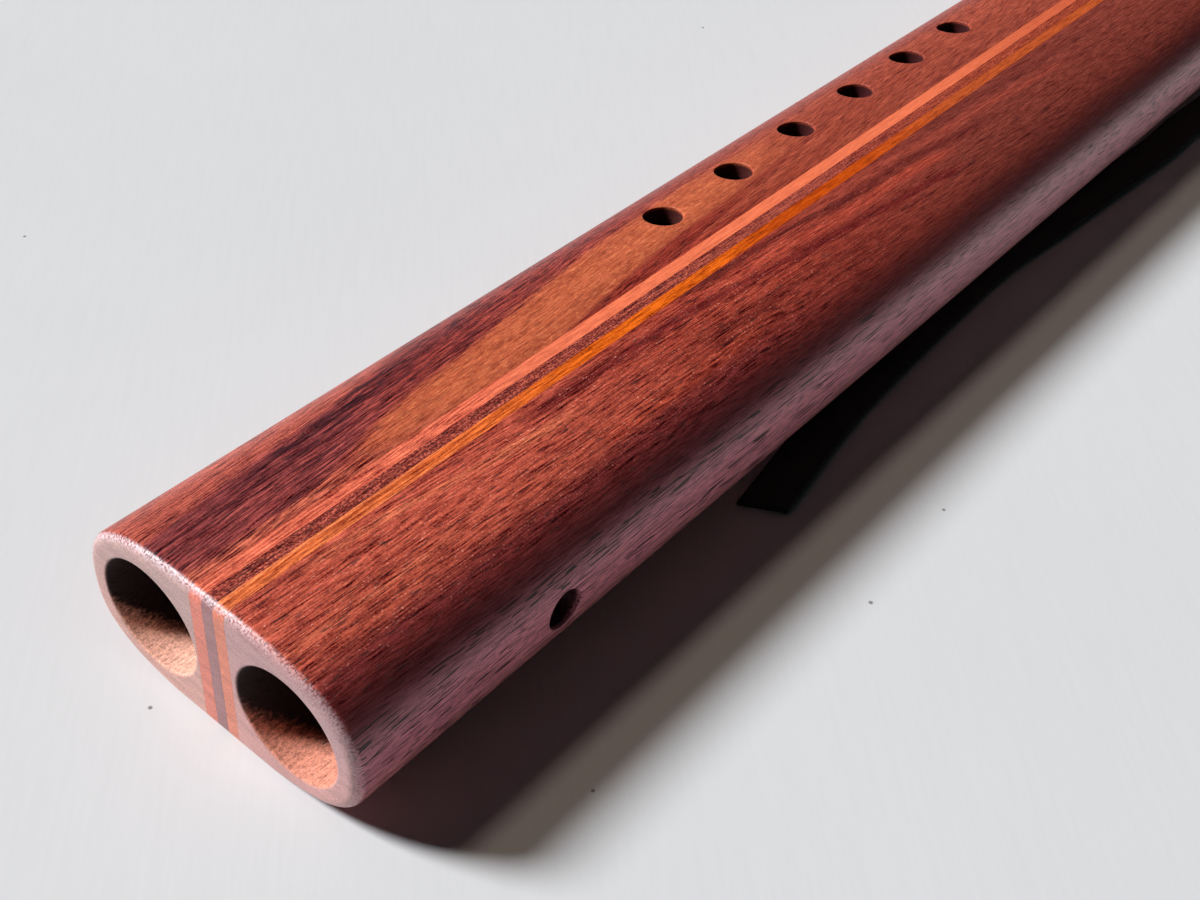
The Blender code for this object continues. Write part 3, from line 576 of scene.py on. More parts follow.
# ---------------------------------------------------------------- strap: its size and its route
STRAP_W, STRAP_T = 9.5 * MM, 1.4 * MM
LIE_Z = -15.9 * MM + 0.1 * MM + STRAP_T / 2
LONG_TAIL = [
    (37.3, 425.2, 9.5, 82),
    (37.9, 413, 6.6, 80),
    (38.2, 399, 1.0, 72),
    (37.6, 384, -5.6, 58),
    (36.2, 368, -10.6, 38),
    (34.6, 350, -13.6, 17),
    (33.2, 332, -14.95, 3),
    (32.0, 313, None, 0),
    (32.1, 298, None, 0),
    (31.4, 284, None, 0),
    (30.3, 268, None, 0),
    (29.2, 250, None, 0),
    (27.9, 232, None, 0),
    (26.6, 217, None, 0),
    (26.3, 204, None, 0),
    (26.6, 188, None, 0),
    (27.1, 172, None, 0),
    (27.9, 155, None, 0),
    (29.0, 140, None, 0),
    (30.6, 127, None, 0),
    (32.3, 116, None, 0),
    (33.9, 105, None, 0),
]
SHORT_TAIL = [
    (37.3, 452.6, 9.5, 82),
    (38.2, 464, 6.0, 78),
    (39.4, 477, 0.0, 66),
    (41.2, 490, -6.8, 46),
    (43.4, 505, -12.0, 22),
    (45.4, 520, -14.6, 5),
    (46.6, 536, None, 0),
    (46.4, 552, None, 0),
    (45.0, 566, None, 0),
]


def smooth_path(points, count):
    """A Catmull-Rom curve through the points, at equal steps."""
    p = np.array(points, float)
    ends = np.vstack([p[:1], p, p[-1:]])
    dense = []
    for k in range(len(p) - 1):
        p0, p1, p2, p3 = ends[k : k + 4]
        for t in np.arange(24) / 24:
            dense.append(
                0.5 * (2 * p1 + (p2 - p0) * t + (2 * p0 - 5 * p1 + 4 * p2 - p3) * t * t + (3 * p1 - p0 - 3 * p2 + p3) * t**3)
            )
    dense.append(p[-1])
    dense = np.array(dense)
    steps = np.linalg.norm(np.diff(dense[:, :3], axis=0), axis=1)
    at = np.concatenate([[0], np.cumsum(steps)])
    want = np.linspace(0, at[-1], count)
    return np.stack([np.interp(want, at, dense[:, i]) for i in range(dense.shape[1])], axis=1), at[-1]


def ribbon(name, path, outs, width, thickness, slant=(0.0, 0.0), squeeze=None):
    """A flat strap with rounded edges. slant moves the two ends' corners along the strap, squeeze narrows it point by point."""
    path, outs = np.array(path, float), np.array(outs, float)
    count = len(path)
    profile = []
    r = thickness * 0.42
    for cx, cz, start in ((width / 2 - r, thickness / 2 - r, 0), (-width / 2 + r, thickness / 2 - r, 90), (-width / 2 + r, -thickness / 2 + r, 180), (width / 2 - r, -thickness / 2 + r, 270)):
        for step in (0, 30, 60, 90):
            a = math.radians(start + step)
            profile.append((cx + r * math.cos(a), cz + r * math.sin(a)))
    bm = bmesh.new()
    rows = []
    for k in range(count):
        along = path[min(count - 1, k + 1)] - path[max(0, k - 1)]
        along /= np.linalg.norm(along)
        n = outs[k] - (outs[k] @ along) * along
        n /= np.linalg.norm(n)
        across = np.cross(along, n)
        lean = 0.0
        if k == 0:
            lean = slant[0]
        if k == count - 1:
            lean = slant[1]
        narrow = 1.0 if squeeze is None else squeeze[k]
        rows.append([bm.verts.new(path[k] + across * (u * narrow) + n * v + along * lean * u) for u, v in profile])
    size = len(profile)
    for a, b in zip(rows, rows[1:]):
        for i in range(size):
            j = (i + 1) % size
            bm.faces.new((a[i], a[j], b[j], b[i]))
    bm.faces.new(rows[0])
    bm.faces.new(rows[-1])
    bmesh.ops.recalc_face_normals(bm, faces=bm.faces)
    mesh = bpy.data.meshes.new(name)
    bm.to_mesh(mesh)
    bm.free()
    mesh.transform(Matrix.Translation(SHIFT))
    mesh.shade_smooth()
    mesh.set_sharp_from_angle(angle=math.radians(50))
    made = bpy.data.objects.new(name, mesh)
    scene.collection.objects.link(made)
    return made


# ---------------------------------------------------------------- body
class Fabric:
    """Vertices and faces of one mesh, collected ring by ring."""

    def __init__(self):
        self.points, self.faces, self.count = [], [], 0

    def add(self, points):
        points = np.asarray(points, float)
        self.points.append(points)
        self.count += len(points)
        return np.arange(self.count - len(points), self.count)

    def at(self, index):
        return np.vstack(self.points)[index]

    def between(self, a, b):
        n = len(a)
        for i in range(n):
            j = (i + 1) % n
            self.faces.append((a[i], a[j], b[j], b[i]))

    def fan(self, ring, point):
        tip = self.add([point])[0]
        for i in range(len(ring)):
            self.faces.append((ring[i], ring[(i + 1) % len(ring)], tip))

    def grid(self, rows, gaps=()):
        """Rows of closed rings as quads, without the cells of the gaps (first row, first column). Returns the rings' numbers and the border of each gap."""
        rows = np.asarray(rows, float)
        number, cols = rows.shape[:2]
        index = self.add(rows.reshape(-1, 3)).reshape(number, cols)
        keep = np.ones((number - 1, cols), bool)
        borders = []
        for r, c in gaps:
            span = np.arange(c, c + CELLS) % cols
            keep[r : r + CELLS, span] = False
            loop = [index[r, (c + k) % cols] for k in range(CELLS)]
            loop += [index[r + k, (c + CELLS) % cols] for k in range(CELLS)]
            loop += [index[r + CELLS, (c + CELLS - k) % cols] for k in range(CELLS)]
            loop += [index[r + CELLS - k, c % cols] for k in range(CELLS)]
            borders.append(np.array(loop))
        for r in range(number - 1):
            for c in range(cols):
                if keep[r, c]:
                    n = (c + 1) % cols
                    self.faces.append((index[r, c], index[r, n], index[r + 1, n], index[r + 1, c]))
        return index, borders

    def mesh(self, name):
        """The mesh in the fabric's own units, without the vertices that no face uses."""
        used = sorted({i for face in self.faces for i in face})
        renumber = {old: new for new, old in enumerate(used)}
        points = np.vstack(self.points)[used]
        made = bpy.data.meshes.new(name)
        made.from_pydata([tuple(p) for p in points], [], [tuple(renumber[i] for i in face) for face in self.faces])
        return made


def spaced(marks, step):
    """Sorted values through the marks with at most a step between them."""
    marks = sorted(set(round(m, 5) for m in marks))
    found = []
    for a, b in zip(marks, marks[1:]):
        found += list(np.linspace(a, b, max(1, math.ceil((b - a) / step)) + 1)[:-1])
    return found + [marks[-1]]


def with_patches(marks, centres, half, step):
    """Row positions with CELLS even steps about each centre, and the number of each patch's first row."""
    fine = [np.linspace(c - half, c + half, CELLS + 1) for c in centres]
    edges = sorted([f[0] for f in fine] + [f[-1] for f in fine])
    plain = [m for m in marks if not any(f[0] < m < f[-1] for f in fine)]
    found = spaced(plain + edges, step)
    found = [m for m in found if not any(f[0] + 1e-6 < m < f[-1] - 1e-6 for f in fine)]
    found = sorted(set(round(m, 5) for m in found) | set(round(m, 5) for f in fine for m in f))
    return found, [int(np.argmin(np.abs(np.array(found) - f[0]))) for f in fine]


def drilled(fabric, outer, inner, centre, place, outer_height, inner_height, soft, stretch=(1.0, 1.0)):
    """A round hole from the border of a gap in one surface to that in another, with a softened outer rim."""
    u0, v0, into = centre

    def flat(loop):
        points = fabric.at(loop)
        return np.stack([points[:, into], points[:, 1]], axis=1)

    edge = flat(outer)
    away = edge - (u0, v0)
    away /= np.linalg.norm(away, axis=1)[:, None]

    def ring(uv, height):
        return fabric.add(place(uv[:, 0], uv[:, 1], height))

    def disc(r):
        return np.array([u0, v0]) + away * stretch * np.asarray(r).reshape(-1, 1)

    rim = HOLE_R + soft
    previous = outer
    for t in (0.22, 0.44, 0.64, 0.82, 1.0):
        uv = edge + (disc(rim) - edge) * t
        here = ring(uv, outer_height(uv[:, 0], uv[:, 1]))
        fabric.between(previous, here)
        previous = here
    probe = 0.05
    high = outer_height(*disc(rim + probe).T)
    low = outer_height(*disc(rim).T)
    slope = (high - low) / probe
    for t in (0.2, 0.4, 0.6, 0.8, 1.0):
        r = (1 - t) ** 2 * rim + (1 - (1 - t) ** 2) * HOLE_R
        drop = 2 * t * (1 - t) * slope * soft + t * t * (slope + 1) * soft
        here = ring(disc(r), low - drop)
        fabric.between(previous, here)
        previous = here
    bottom = inner_height(*disc(HOLE_R).T)
    start = low - (slope + 1) * soft
    for t in (0.34, 0.67, 1.0):
        here = ring(disc(HOLE_R), start + (bottom - start) * t)
        fabric.between(previous, here)
        previous = here
    far = flat(inner)
    for t in (0.25, 0.5, 0.75):
        uv = disc(HOLE_R) + (far - disc(HOLE_R)) * t
        here = ring(uv, inner_height(uv[:, 0], uv[:, 1]))
        fabric.between(previous, here)
        previous = here
    fabric.between(previous, inner)


def body_fabric():
    """The whole body as one mesh, open at the foot and mouth, with the loops round those ends: outside, both bores,
    both slow-air chambers and the round holes.
    """
    fabric = Fabric()
    centres = [TUNE_Y] + [y for _, y in FINGERS]

    # outside
    rows = [outline(0.0, FOOT_RIM + 0.35)]
    ys = [0.0]
    for k in range(8):
        a = math.radians(90 - 90 * k / 8)
        rows.append(outline(0.0, FOOT_RIM * (1 - math.cos(a))))
        ys.append(FOOT_RIM * (1 - math.sin(a)))
    marks = [FOOT_RIM, 335, 345, 355, 365, 375, 385, 395, 405, 470] + list(np.linspace(480, LENGTH - MOUTH_RIM, 24))
    body_ys, first = with_patches(marks, centres, 6.2, 5.0)
    first = [k + len(ys) for k in first]
    rows += [outline(y) for y in body_ys]
    ys += body_ys
    for k in range(1, 11):
        a = math.radians(90 * k / 10)
        y = LENGTH - MOUTH_RIM * (1 - math.sin(a))
        rows.append(outline(y, MOUTH_RIM * (1 - math.cos(a))))
        ys.append(y)
    rows.append(outline(LENGTH, MOUTH_RIM + 0.35))
    ys.append(LENGTH)
    rows3 = [np.stack([row[:, 0], np.full(COLS, y), row[:, 1]], axis=1) for row, y in zip(rows, ys)]
    plain = outline(100.0)
    gaps = []
    tune_row = first[0]
    gaps.append((tune_row, -CELLS // 2))
    gaps.append((tune_row, COLS // 2 - CELLS // 2))
    for (x, _), row in zip(FINGERS, first[1:]):
        nearest = int(np.argmin(np.abs(plain[: COLS // 2, 0] - x)))
        gaps.append((row, nearest - CELLS // 2))
    skin, skin_borders = fabric.grid(rows3, gaps)

    # bores
    turn = np.linspace(0, 2 * math.pi, TUBE_COLS, endpoint=False)
    ends = {"foot": [skin[0]], "mouth": [skin[-1]]}
    soft = 0.55
    for side, sign in (("melody", -1), ("drone", 1)):
        steps = [(0.0, BORE_R + soft + 0.3)]
        steps += [(soft * (1 - math.cos(a)), BORE_R + soft * (1 - math.sin(a))) for a in np.linspace(0, math.pi / 2, 7)]
        bore_ys, starts = with_patches([soft, BORE_END - BORE_R], centres if sign < 0 else centres[:1], 5.6, 6.0)
        starts = [k + len(steps) - 1 for k in starts]
        steps += [(y, BORE_R) for y in bore_ys[1:]]
        steps += [(BORE_END - BORE_R * (1 - math.sin(a)), BORE_R * math.cos(a)) for a in np.linspace(0, math.pi / 2, 13)[1:-1]]
        rings = [np.stack([sign * PIPE_X + r * np.cos(turn), np.full(TUBE_COLS, y), r * np.sin(turn)], axis=1) for y, r in steps]
        gaps = [(starts[0], -CELLS // 2 if sign > 0 else TUBE_COLS // 2 - CELLS // 2)]
        if sign < 0:
            for (x, _), row in zip(FINGERS, starts[1:]):
                angle = math.acos((x + PIPE_X) / BORE_R)
                gaps.append((row, int(round(angle / (2 * math.pi) * TUBE_COLS)) - CELLS // 2))
        bore, borders = fabric.grid(rings, gaps)
        fabric.fan(bore[-1], (sign * PIPE_X, BORE_END, 0.0))
        ends["foot"].append(bore[0])

        def sideways(u, v, h, sign=sign):
            return np.stack([sign * h, v, u], axis=1)

        tune_border = skin_borders[0] if sign > 0 else skin_borders[1]
        drilled(fabric, tune_border, borders[0], (0.0, TUNE_Y, 2), sideways, side_reach, bore_reach, 0.3)
        if sign < 0:
            for (x, y), outer, inner in zip(FINGERS, skin_borders[2:], borders[1:]):
                drilled(fabric, outer, inner, (x, y, 0), lambda u, v, h: np.stack([u, v, h], axis=1), top_height, bore_height, 0.34, (1.06, 1.02))

        # slow-air chamber and breath hole
        steps = [(AIR_FROM + AIR_R * (1 - math.cos(a)), PIPE_X, AIR_R * math.sin(a)) for a in np.linspace(0, math.pi / 2, 10)[1:]]
        steps += [(y, PIPE_X, AIR_R) for y in np.linspace(AIR_FROM + AIR_R, AIR_TO - AIR_R, 14)[1:]]
        for k in range(1, 11):
            t = eased(k / 10)
            steps.append((AIR_TO - AIR_R + 10 * k / 10, PIPE_X + (BREATH_X - PIPE_X) * t, AIR_R + (HOLE_R - AIR_R) * t))
        steps += [(y, BREATH_X, HOLE_R) for y in np.linspace(AIR_TO, LENGTH - 0.5, 12)[1:]]
        steps += [(LENGTH - 0.5 * (1 - math.sin(a)), BREATH_X, HOLE_R + 0.5 * (1 - math.cos(a))) for a in np.linspace(0, math.pi / 2, 7)[1:]]
        steps.append((LENGTH, BREATH_X, HOLE_R + 0.7))
        rings = [np.stack([sign * cx + r * np.cos(turn), np.full(TUBE_COLS, y), r * np.sin(turn)], axis=1) for y, cx, r in steps]
        air, _ = fabric.grid(rings)
        fabric.fan(air[0], (sign * PIPE_X, AIR_FROM, 0.0))
        ends["mouth"].append(air[-1])
    return fabric, ends


def whole_body():
    """The closed body as a bmesh, in millimetres, with flat faces at both ends."""
    fabric, ends = body_fabric()
    points = np.vstack(fabric.points)
    used = sorted({i for face in fabric.faces for i in face})
    bm = bmesh.new()
    verts = {i: bm.verts.new(points[i]) for i in used}
    for face in fabric.faces:
        bm.faces.new([verts[i] for i in face])
    bm.verts.index_update()
    for loops, facing in ((ends["foot"], -1), (ends["mouth"], 1)):
        edges = []
        for loop in loops:
            n = len(loop)
            for i in range(n):
                a, b = verts[loop[i]], verts[loop[(i + 1) % n]]
                edges.append(bm.edges.get((a, b)))
        bmesh.ops.triangle_fill(bm, use_beauty=True, edges=edges, normal=(0, facing, 0))
    bmesh.ops.recalc_face_normals(bm, faces=bm.faces)
    return bm


def halved(bm, point, normal):
    """What lies behind a plane, closed along the cut."""
    found = bmesh.ops.bisect_plane(
        bm, geom=bm.verts[:] + bm.edges[:] + bm.faces[:], dist=1e-6, plane_co=point, plane_no=normal, clear_outer=True, clear_inner=False
    )
    axis = max(range(3), key=lambda k: abs(normal[k]))
    for vert in found["geom_cut"]:
        if isinstance(vert, bmesh.types.BMVert):
            vert.co[axis] = point[axis]
    edges = [e for e in found["geom_cut"] if isinstance(e, bmesh.types.BMEdge) and e.is_boundary]
    bmesh.ops.triangle_fill(bm, use_beauty=True, edges=edges, normal=normal)
    return bm


def prism(name, profile, low, high, axis):
    """A cutter: (u, v) pairs extruded along an axis. X takes (y, z), Z takes (x, y)."""
    place = {"X": lambda u, v, w: (w, u, v), "Z": lambda u, v, w: (u, v, w)}[axis]
    bm = bmesh.new()
    rows = [[bm.verts.new(place(u, v, w)) for u, v in profile] for w in (low, high)]
    n = len(profile)
    for i in range(n):
        j = (i + 1) % n
        bm.faces.new((rows[0][i], rows[0][j], rows[1][j], rows[1][i]))
    bm.faces.new(rows[0])
    bm.faces.new(rows[1])
    bmesh.ops.recalc_face_normals(bm, faces=bm.faces)
    mesh = bpy.data.meshes.new(name)
    bm.to_mesh(mesh)
    bm.free()
    return bpy.data.objects.new(name, mesh)


NEST = [(384, 17.1), (390, NEST_Z + 0.7), (394, NEST_Z), (474, NEST_Z), (478, NEST_Z + 0.7), (484, 17.1), (484, 24), (384, 24)]


def cutters_for(sign):
    x = sign * PIPE_X
    a, b = x - SOUND_W / 2, x + SOUND_W / 2
    edge = [(405, 20), (405, NEST_Z - 0.6), (399, 6.5), (411.3, 6.5), (411.3, 20)]
    slot = [(a, 431), (b, 431), (b, 437), (a, 437)]
    return [prism("sound_hole_cut", edge, a, b, "X"), prism("air_exit_cut", slot, 4.0, 20.0, "Z")]


def grain_of(mesh):
    """Stores where each vertex lies in the wood: arc from the top's middle, distance from the foot, and share of the way out from the core."""
    n = len(mesh.vertices)
    co = np.empty(n * 3)
    mesh.vertices.foreach_get("co", co)
    co = co.reshape(-1, 3)
    x, y, z = co[:, 0] / MM - SHIFT.x / MM, co[:, 1] / MM - SHIFT.y / MM, co[:, 2] / MM - SHIFT.z / MM
    t = np.clip((y - 470.0) / (LENGTH - 470.0), 0, None) ** 2
    w, top = WIDE - 9.5 * t, HIGH - 6.0 * t
    rise = np.clip((y - 335.0) / 70.0, 0, 1)
    belly = (DEEP - 2.0 * rise * rise * (3 - 2 * rise) - 3.6 * t) * LAND
    p = (np.abs(x) / w) ** (NX / 2)
    q = (np.abs(z) / np.where(z >= 0, top, belly)) ** (NZ / 2)
    out = np.hypot(p, q)
    a = np.where(z >= 0, np.arctan2(q, p), -np.arctan2(q, p))
    # arc from the top's middle of the plain section, against that angle
    angles = np.linspace(math.pi / 2, -math.pi / 2, 1801)
    px = np.abs(np.cos(angles)) ** (2 / NX) * WIDE
    pz = np.where(angles >= 0, np.abs(np.sin(angles)) ** (2 / NZ) * HIGH, np.maximum(-(np.abs(np.sin(angles)) ** (2 / NZ)) * DEEP * LAND, -DEEP))
    arc = np.concatenate([[0], np.cumsum(np.hypot(np.diff(px), np.diff(pz)))])
    s = np.interp(-a, -angles, arc) * np.sign(x)
    layer = mesh.attributes.new("grain", "FLOAT_VECTOR", "POINT")
    layer.data.foreach_set("vector", np.stack([s, y, out], axis=1).astype(np.float32).ravel())


def boards():
    """The ten boards of the body, by node name."""
    body = whole_body()
    made = {}
    spans = {
        "melody_board": (-60.0, STRIPS[0]),
        "coral_strip": (STRIPS[0], STRIPS[1]),
        "dark_strip": (STRIPS[1], STRIPS[2]),
        "orange_strip": (STRIPS[2], STRIPS[3]),
        "drone_board": (STRIPS[3], 60.0),
    }
    for half, up in (("upper", 1), ("lower", -1)):
        slab = halved(body.copy(), (0, 0, up * JOINT), (0, 0, -up))
        for board, (x0, x1) in spans.items():
            bm = slab.copy()
            if x0 > -60:
                halved(bm, (x0 + JOINT, 0, 0), (-1, 0, 0))
            if x1 < 60:
                halved(bm, (x1 - JOINT, 0, 0), (1, 0, 0))
            bmesh.ops.recalc_face_normals(bm, faces=bm.faces)
            name = f"{board}_{half}"
            mesh = bpy.data.meshes.new(name + "_wood")
            bm.to_mesh(mesh)
            bm.free()
            piece = bpy.data.objects.new(name + "_wood", mesh)
            scene.collection.objects.link(piece)
            if half == "upper":
                cutters = [prism("nest_cut", NEST, -40, 40, "X")]
                if "board" in board:
                    cutters += cutters_for(-1 if board.startswith("melody") else 1)
                for cutter in cutters:
                    scene.collection.objects.link(cutter)
                    cut = piece.modifiers.new("cut", "BOOLEAN")
                    cut.operation, cut.solver, cut.object = "DIFFERENCE", "EXACT", cutter
                carved = bpy.data.meshes.new_from_object(piece.evaluated_get(bpy.context.evaluated_depsgraph_get()))
                piece.modifiers.clear()
                piece.data = carved
                for cutter in cutters:
                    bpy.data.objects.remove(cutter, do_unlink=True)
                mesh = carved
                mesh.name = name + "_wood"
            mesh.transform(Matrix.Scale(MM, 4))
            mesh.transform(Matrix.Translation(SHIFT))
            mesh.shade_smooth()
            mesh.set_sharp_from_angle(angle=math.radians(34))
            grain_of(mesh)
            made[name] = piece
        slab.free()
    body.free()
    return made


for name, piece in boards().items():
    piece.data.materials.append(WOODS[slots[name]])
    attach(piece, "flute_body")
    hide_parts(name)

# ---------------------------------------------------------------- flue plates and blocks
PLATE_W, PLATE_FROM, PLATE_TO, SLOT_TO = 16.0, 400.5, 456.0, 439.5
PLATE_LOW, PLATE_HIGH, BLOCK_LOW, BLOCK_HALF = NEST_Z + 0.02, 14.72, 14.75, 8.0
BLOCK_FROM, BLOCK_TO, CHIMNEY_TO = 401.5, 466.0, 411.5
RIDGE = [
    (401.5, 5.4), (403.0, 6.7), (406.0, 9.4), (410.0, 12.7), (413.2, 14.7), (415.6, 14.9), (418.2, 13.6), (420.0, 10.9), (421.5, 8.4),
    (423.0, 7.95), (434.0, 7.85), (444.8, 7.95), (446.4, 8.5), (447.8, 10.9), (450.0, 12.4), (454.4, 12.95), (458.4, 11.6), (462.4, 8.9), (466.0, 4.6),
]


def ridge(y):
    """Height of a block's top: a monotone cubic through the ridge points."""
    xs, hs = np.array(RIDGE).T
    steps = np.diff(xs)
    slopes = np.diff(hs) / steps
    tangents = np.zeros(len(xs))
    for k in range(1, len(xs) - 1):
        a, b = slopes[k - 1], slopes[k]
        tangents[k] = 0.0 if a * b <= 0 else 2 * a * b / (a + b)
    tangents[0], tangents[-1] = slopes[0], slopes[-1]
    k = int(np.clip(np.searchsorted(xs, y) - 1, 0, len(steps) - 1))
    t, h = (y - xs[k]) / steps[k], steps[k]
    return (
        hs[k] * (1 + 2 * t) * (1 - t) ** 2 + tangents[k] * h * t * (1 - t) ** 2 + hs[k + 1] * t * t * (3 - 2 * t) + tangents[k + 1] * h * t * t * (t - 1)
    )


def block_ring(y, inset):
    """One outline across a block: flat foot, upright sides, rounded shoulders and a slight crown."""
    off = abs(y - 433.75) / 32.25
    half = BLOCK_HALF - 0.75 * off**2 - inset
    height = ridge(y) + 0.25 - inset
    r = min(3.6, 0.42 * height, half - 1.0)
    right = [(half - 0.5 + 0.5 * math.sin(a), inset * 0.6 + 0.5 - 0.5 * math.cos(a)) for a in np.linspace(0, math.pi / 2, 4)]
    top = height - 0.25
    right += [(half - 0.12 * t * t, 0.5 + inset * 0.6 + (top - r - 0.5 - inset * 0.6) * t) for t in np.linspace(0, 1, 8)[1:]]
    right += [(half - 0.12 - r * (1 - math.cos(a)), top - r + r * math.sin(a)) for a in np.linspace(0, math.pi / 2, 11)[1:]]
    inner = half - 0.12 - r
    right += [(inner * (1 - t), top + 0.22 * (1 - (1 - t) ** 2)) for t in np.linspace(0, 1, 7)[1:-1]]
    points = right + [(0.0, top + 0.22)] + [(-x, z) for x, z in reversed(right)]
    under = half - 0.5
    points += [(-under * (1 - 2 * t), inset * 0.6) for t in np.linspace(0, 1, 9)[1:-1]]
    return [(x, z) for x, z in points]


def softened(piece, cutters, width):
    """The piece less its cutters, with its sharp edges eased."""
    for cutter in cutters:
        scene.collection.objects.link(cutter)
        cut = piece.modifiers.new("cut", "BOOLEAN")
        cut.operation, cut.solver, cut.object = "DIFFERENCE", "EXACT", cutter
    ease = piece.modifiers.new("ease", "BEVEL")
    ease.width, ease.segments, ease.limit_method, ease.angle_limit = width, 2, "ANGLE", math.radians(52)
    mesh = bpy.data.meshes.new_from_object(piece.evaluated_get(bpy.context.evaluated_depsgraph_get()))
    piece.modifiers.clear()
    piece.data = mesh
    for cutter in cutters:
        bpy.data.objects.remove(cutter, do_unlink=True)
    mesh.transform(Matrix.Scale(MM, 4))
    mesh.transform(Matrix.Translation(SHIFT))
    mesh.shade_smooth()
    mesh.set_sharp_from_angle(angle=math.radians(38))
    return piece


for side, sign in (("melody", -1), ("drone", 1)):
    middle_x = sign * PIPE_X
    half, slot = PLATE_W / 2, SOUND_W / 2
    edge = [
        (middle_x - half, PLATE_FROM), (middle_x - slot, PLATE_FROM), (middle_x - slot, SLOT_TO), (middle_x + slot, SLOT_TO),
        (middle_x + slot, PLATE_FROM), (middle_x + half, PLATE_FROM), (middle_x + half, PLATE_TO), (middle_x - half, PLATE_TO),
    ]
    plate = prism(f"{side}_plate_wood", edge, PLATE_LOW, PLATE_HIGH, "Z")
    scene.collection.objects.link(plate)
    softened(plate, [], 0.14)

    bm = bmesh.new()
    rows = []
    lead = [(BLOCK_FROM + 1.3 * (1 - math.sin(a)), 1.3 * (1 - math.cos(a))) for a in np.linspace(math.pi / 2, 0, 6)[:-1]]
    tail = [(BLOCK_TO - 1.3 * (1 - math.sin(a)), 1.3 * (1 - math.cos(a))) for a in np.linspace(0, math.pi / 2, 6)[1:]]
    for y, inset in lead + [(y, 0.0) for y in np.linspace(BLOCK_FROM + 1.3, BLOCK_TO - 1.3, 96)] + tail:
        rows.append([bm.verts.new((middle_x + x, y, BLOCK_LOW + z)) for x, z in block_ring(y, inset)])
    for a, b in zip(rows, rows[1:]):
        for i in range(len(a)):
            j = (i + 1) % len(a)
            bm.faces.new((a[i], a[j], b[j], b[i]))
    for ring in (rows[0], rows[-1]):
        bmesh.ops.triangle_fill(bm, use_beauty=True, edges=[bm.edges.get((ring[i], ring[(i + 1) % len(ring)])) for i in range(len(ring))])
    bmesh.ops.recalc_face_normals(bm, faces=bm.faces)
    mesh = bpy.data.meshes.new(f"{side}_block_wood")
    bm.to_mesh(mesh)
    bm.free()
    block = bpy.data.objects.new(f"{side}_block_wood", mesh)
    scene.collection.objects.link(block)
    a, b = middle_x - SOUND_W / 2, middle_x + SOUND_W / 2
    chimney = prism("chimney_cut", [(a, 390), (b, 390), (b, CHIMNEY_TO), (a, CHIMNEY_TO)], 10.0, 45.0, "Z")
    softened(block, [chimney], 0.22)
    for piece, body, node in ((plate, "flute_body", f"{side}_flue_plate"), (block, f"{side}_block_slider", f"{side}_block")):
        piece.data.materials.append(WOODS[slots[node]])
        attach(piece, body)
        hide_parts(node)

# ---------------------------------------------------------------- strap
for name, points, count, slant in (("strap_tail_long", LONG_TAIL, 220, (0.0, 0.42)), ("strap_tail_short", SHORT_TAIL, 90, (0.0, 0.0))):
    given = [(x * MM, y * MM, LIE_Z if z is None else z * MM, math.radians(lean)) for x, y, z, lean in points]
    line, length = smooth_path(given, count)
    line[:, 2] = np.maximum(line[:, 2], LIE_Z)
    outs = [(math.sin(a), 0.0, math.cos(a)) for a in line[:, 3]]
    made = ribbon(name + "_leather", line[:, :3], outs, STRAP_W, STRAP_T, slant)
    made.data.materials.append(WOODS["black_leather"])
    path = [list(Vector(p) + SHIFT) for p in line[:, :3]]
    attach(made, "flute_body")
    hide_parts(name)

# ---------------------------------------------------------------- the strap's turns and knot
BLOCK_Z, SADDLE_H, BLOCK_W = 15.0 * MM, 8.0 * MM, 16.0 * MM
TURN_PITCH, TIE_Y, KNOT_Z = 9.8 * MM, 429.1 * MM, 12.5 * MM


def tie_section(count):
    """The body's section under the turns, (x, z) pairs."""
    points = []
    for k in range(count):
        a = 2 * math.pi * k / count
        c, s = math.cos(a), math.sin(a)
        x = math.copysign(abs(c) ** (2 / NX), c) * 31.5 * MM
        z = abs(s) ** (2 / NZ) * 16.1 * MM if s >= 0 else max(-(abs(s) ** (2 / NZ)) * 13.9 * MM * LAND, -13.9 * MM)
        points.append((x, z))
    return points


def saddle_section():
    half, r = BLOCK_W / 2, min(4.0 * MM, SADDLE_H * 0.45)
    side = [(half - 0.6 * MM, 0.0), (half, 0.6 * MM)]
    side += [(half - r + r * math.cos(a), SADDLE_H - r + r * math.sin(a)) for a in [math.pi / 2 * k / 8 for k in range(9)]]
    return side + [(-x, z) for x, z in reversed(side)]


def convex(points):
    points = sorted(set(points))

    def half(ordered):
        kept = []
        for p in ordered:
            while len(kept) > 1 and (kept[-1][0] - kept[-2][0]) * (p[1] - kept[-2][1]) - (kept[-1][1] - kept[-2][1]) * (p[0] - kept[-2][0]) <= 0:
                kept.pop()
            kept.append(p)
        return kept[:-1]

    return half(points) + half(points[::-1])


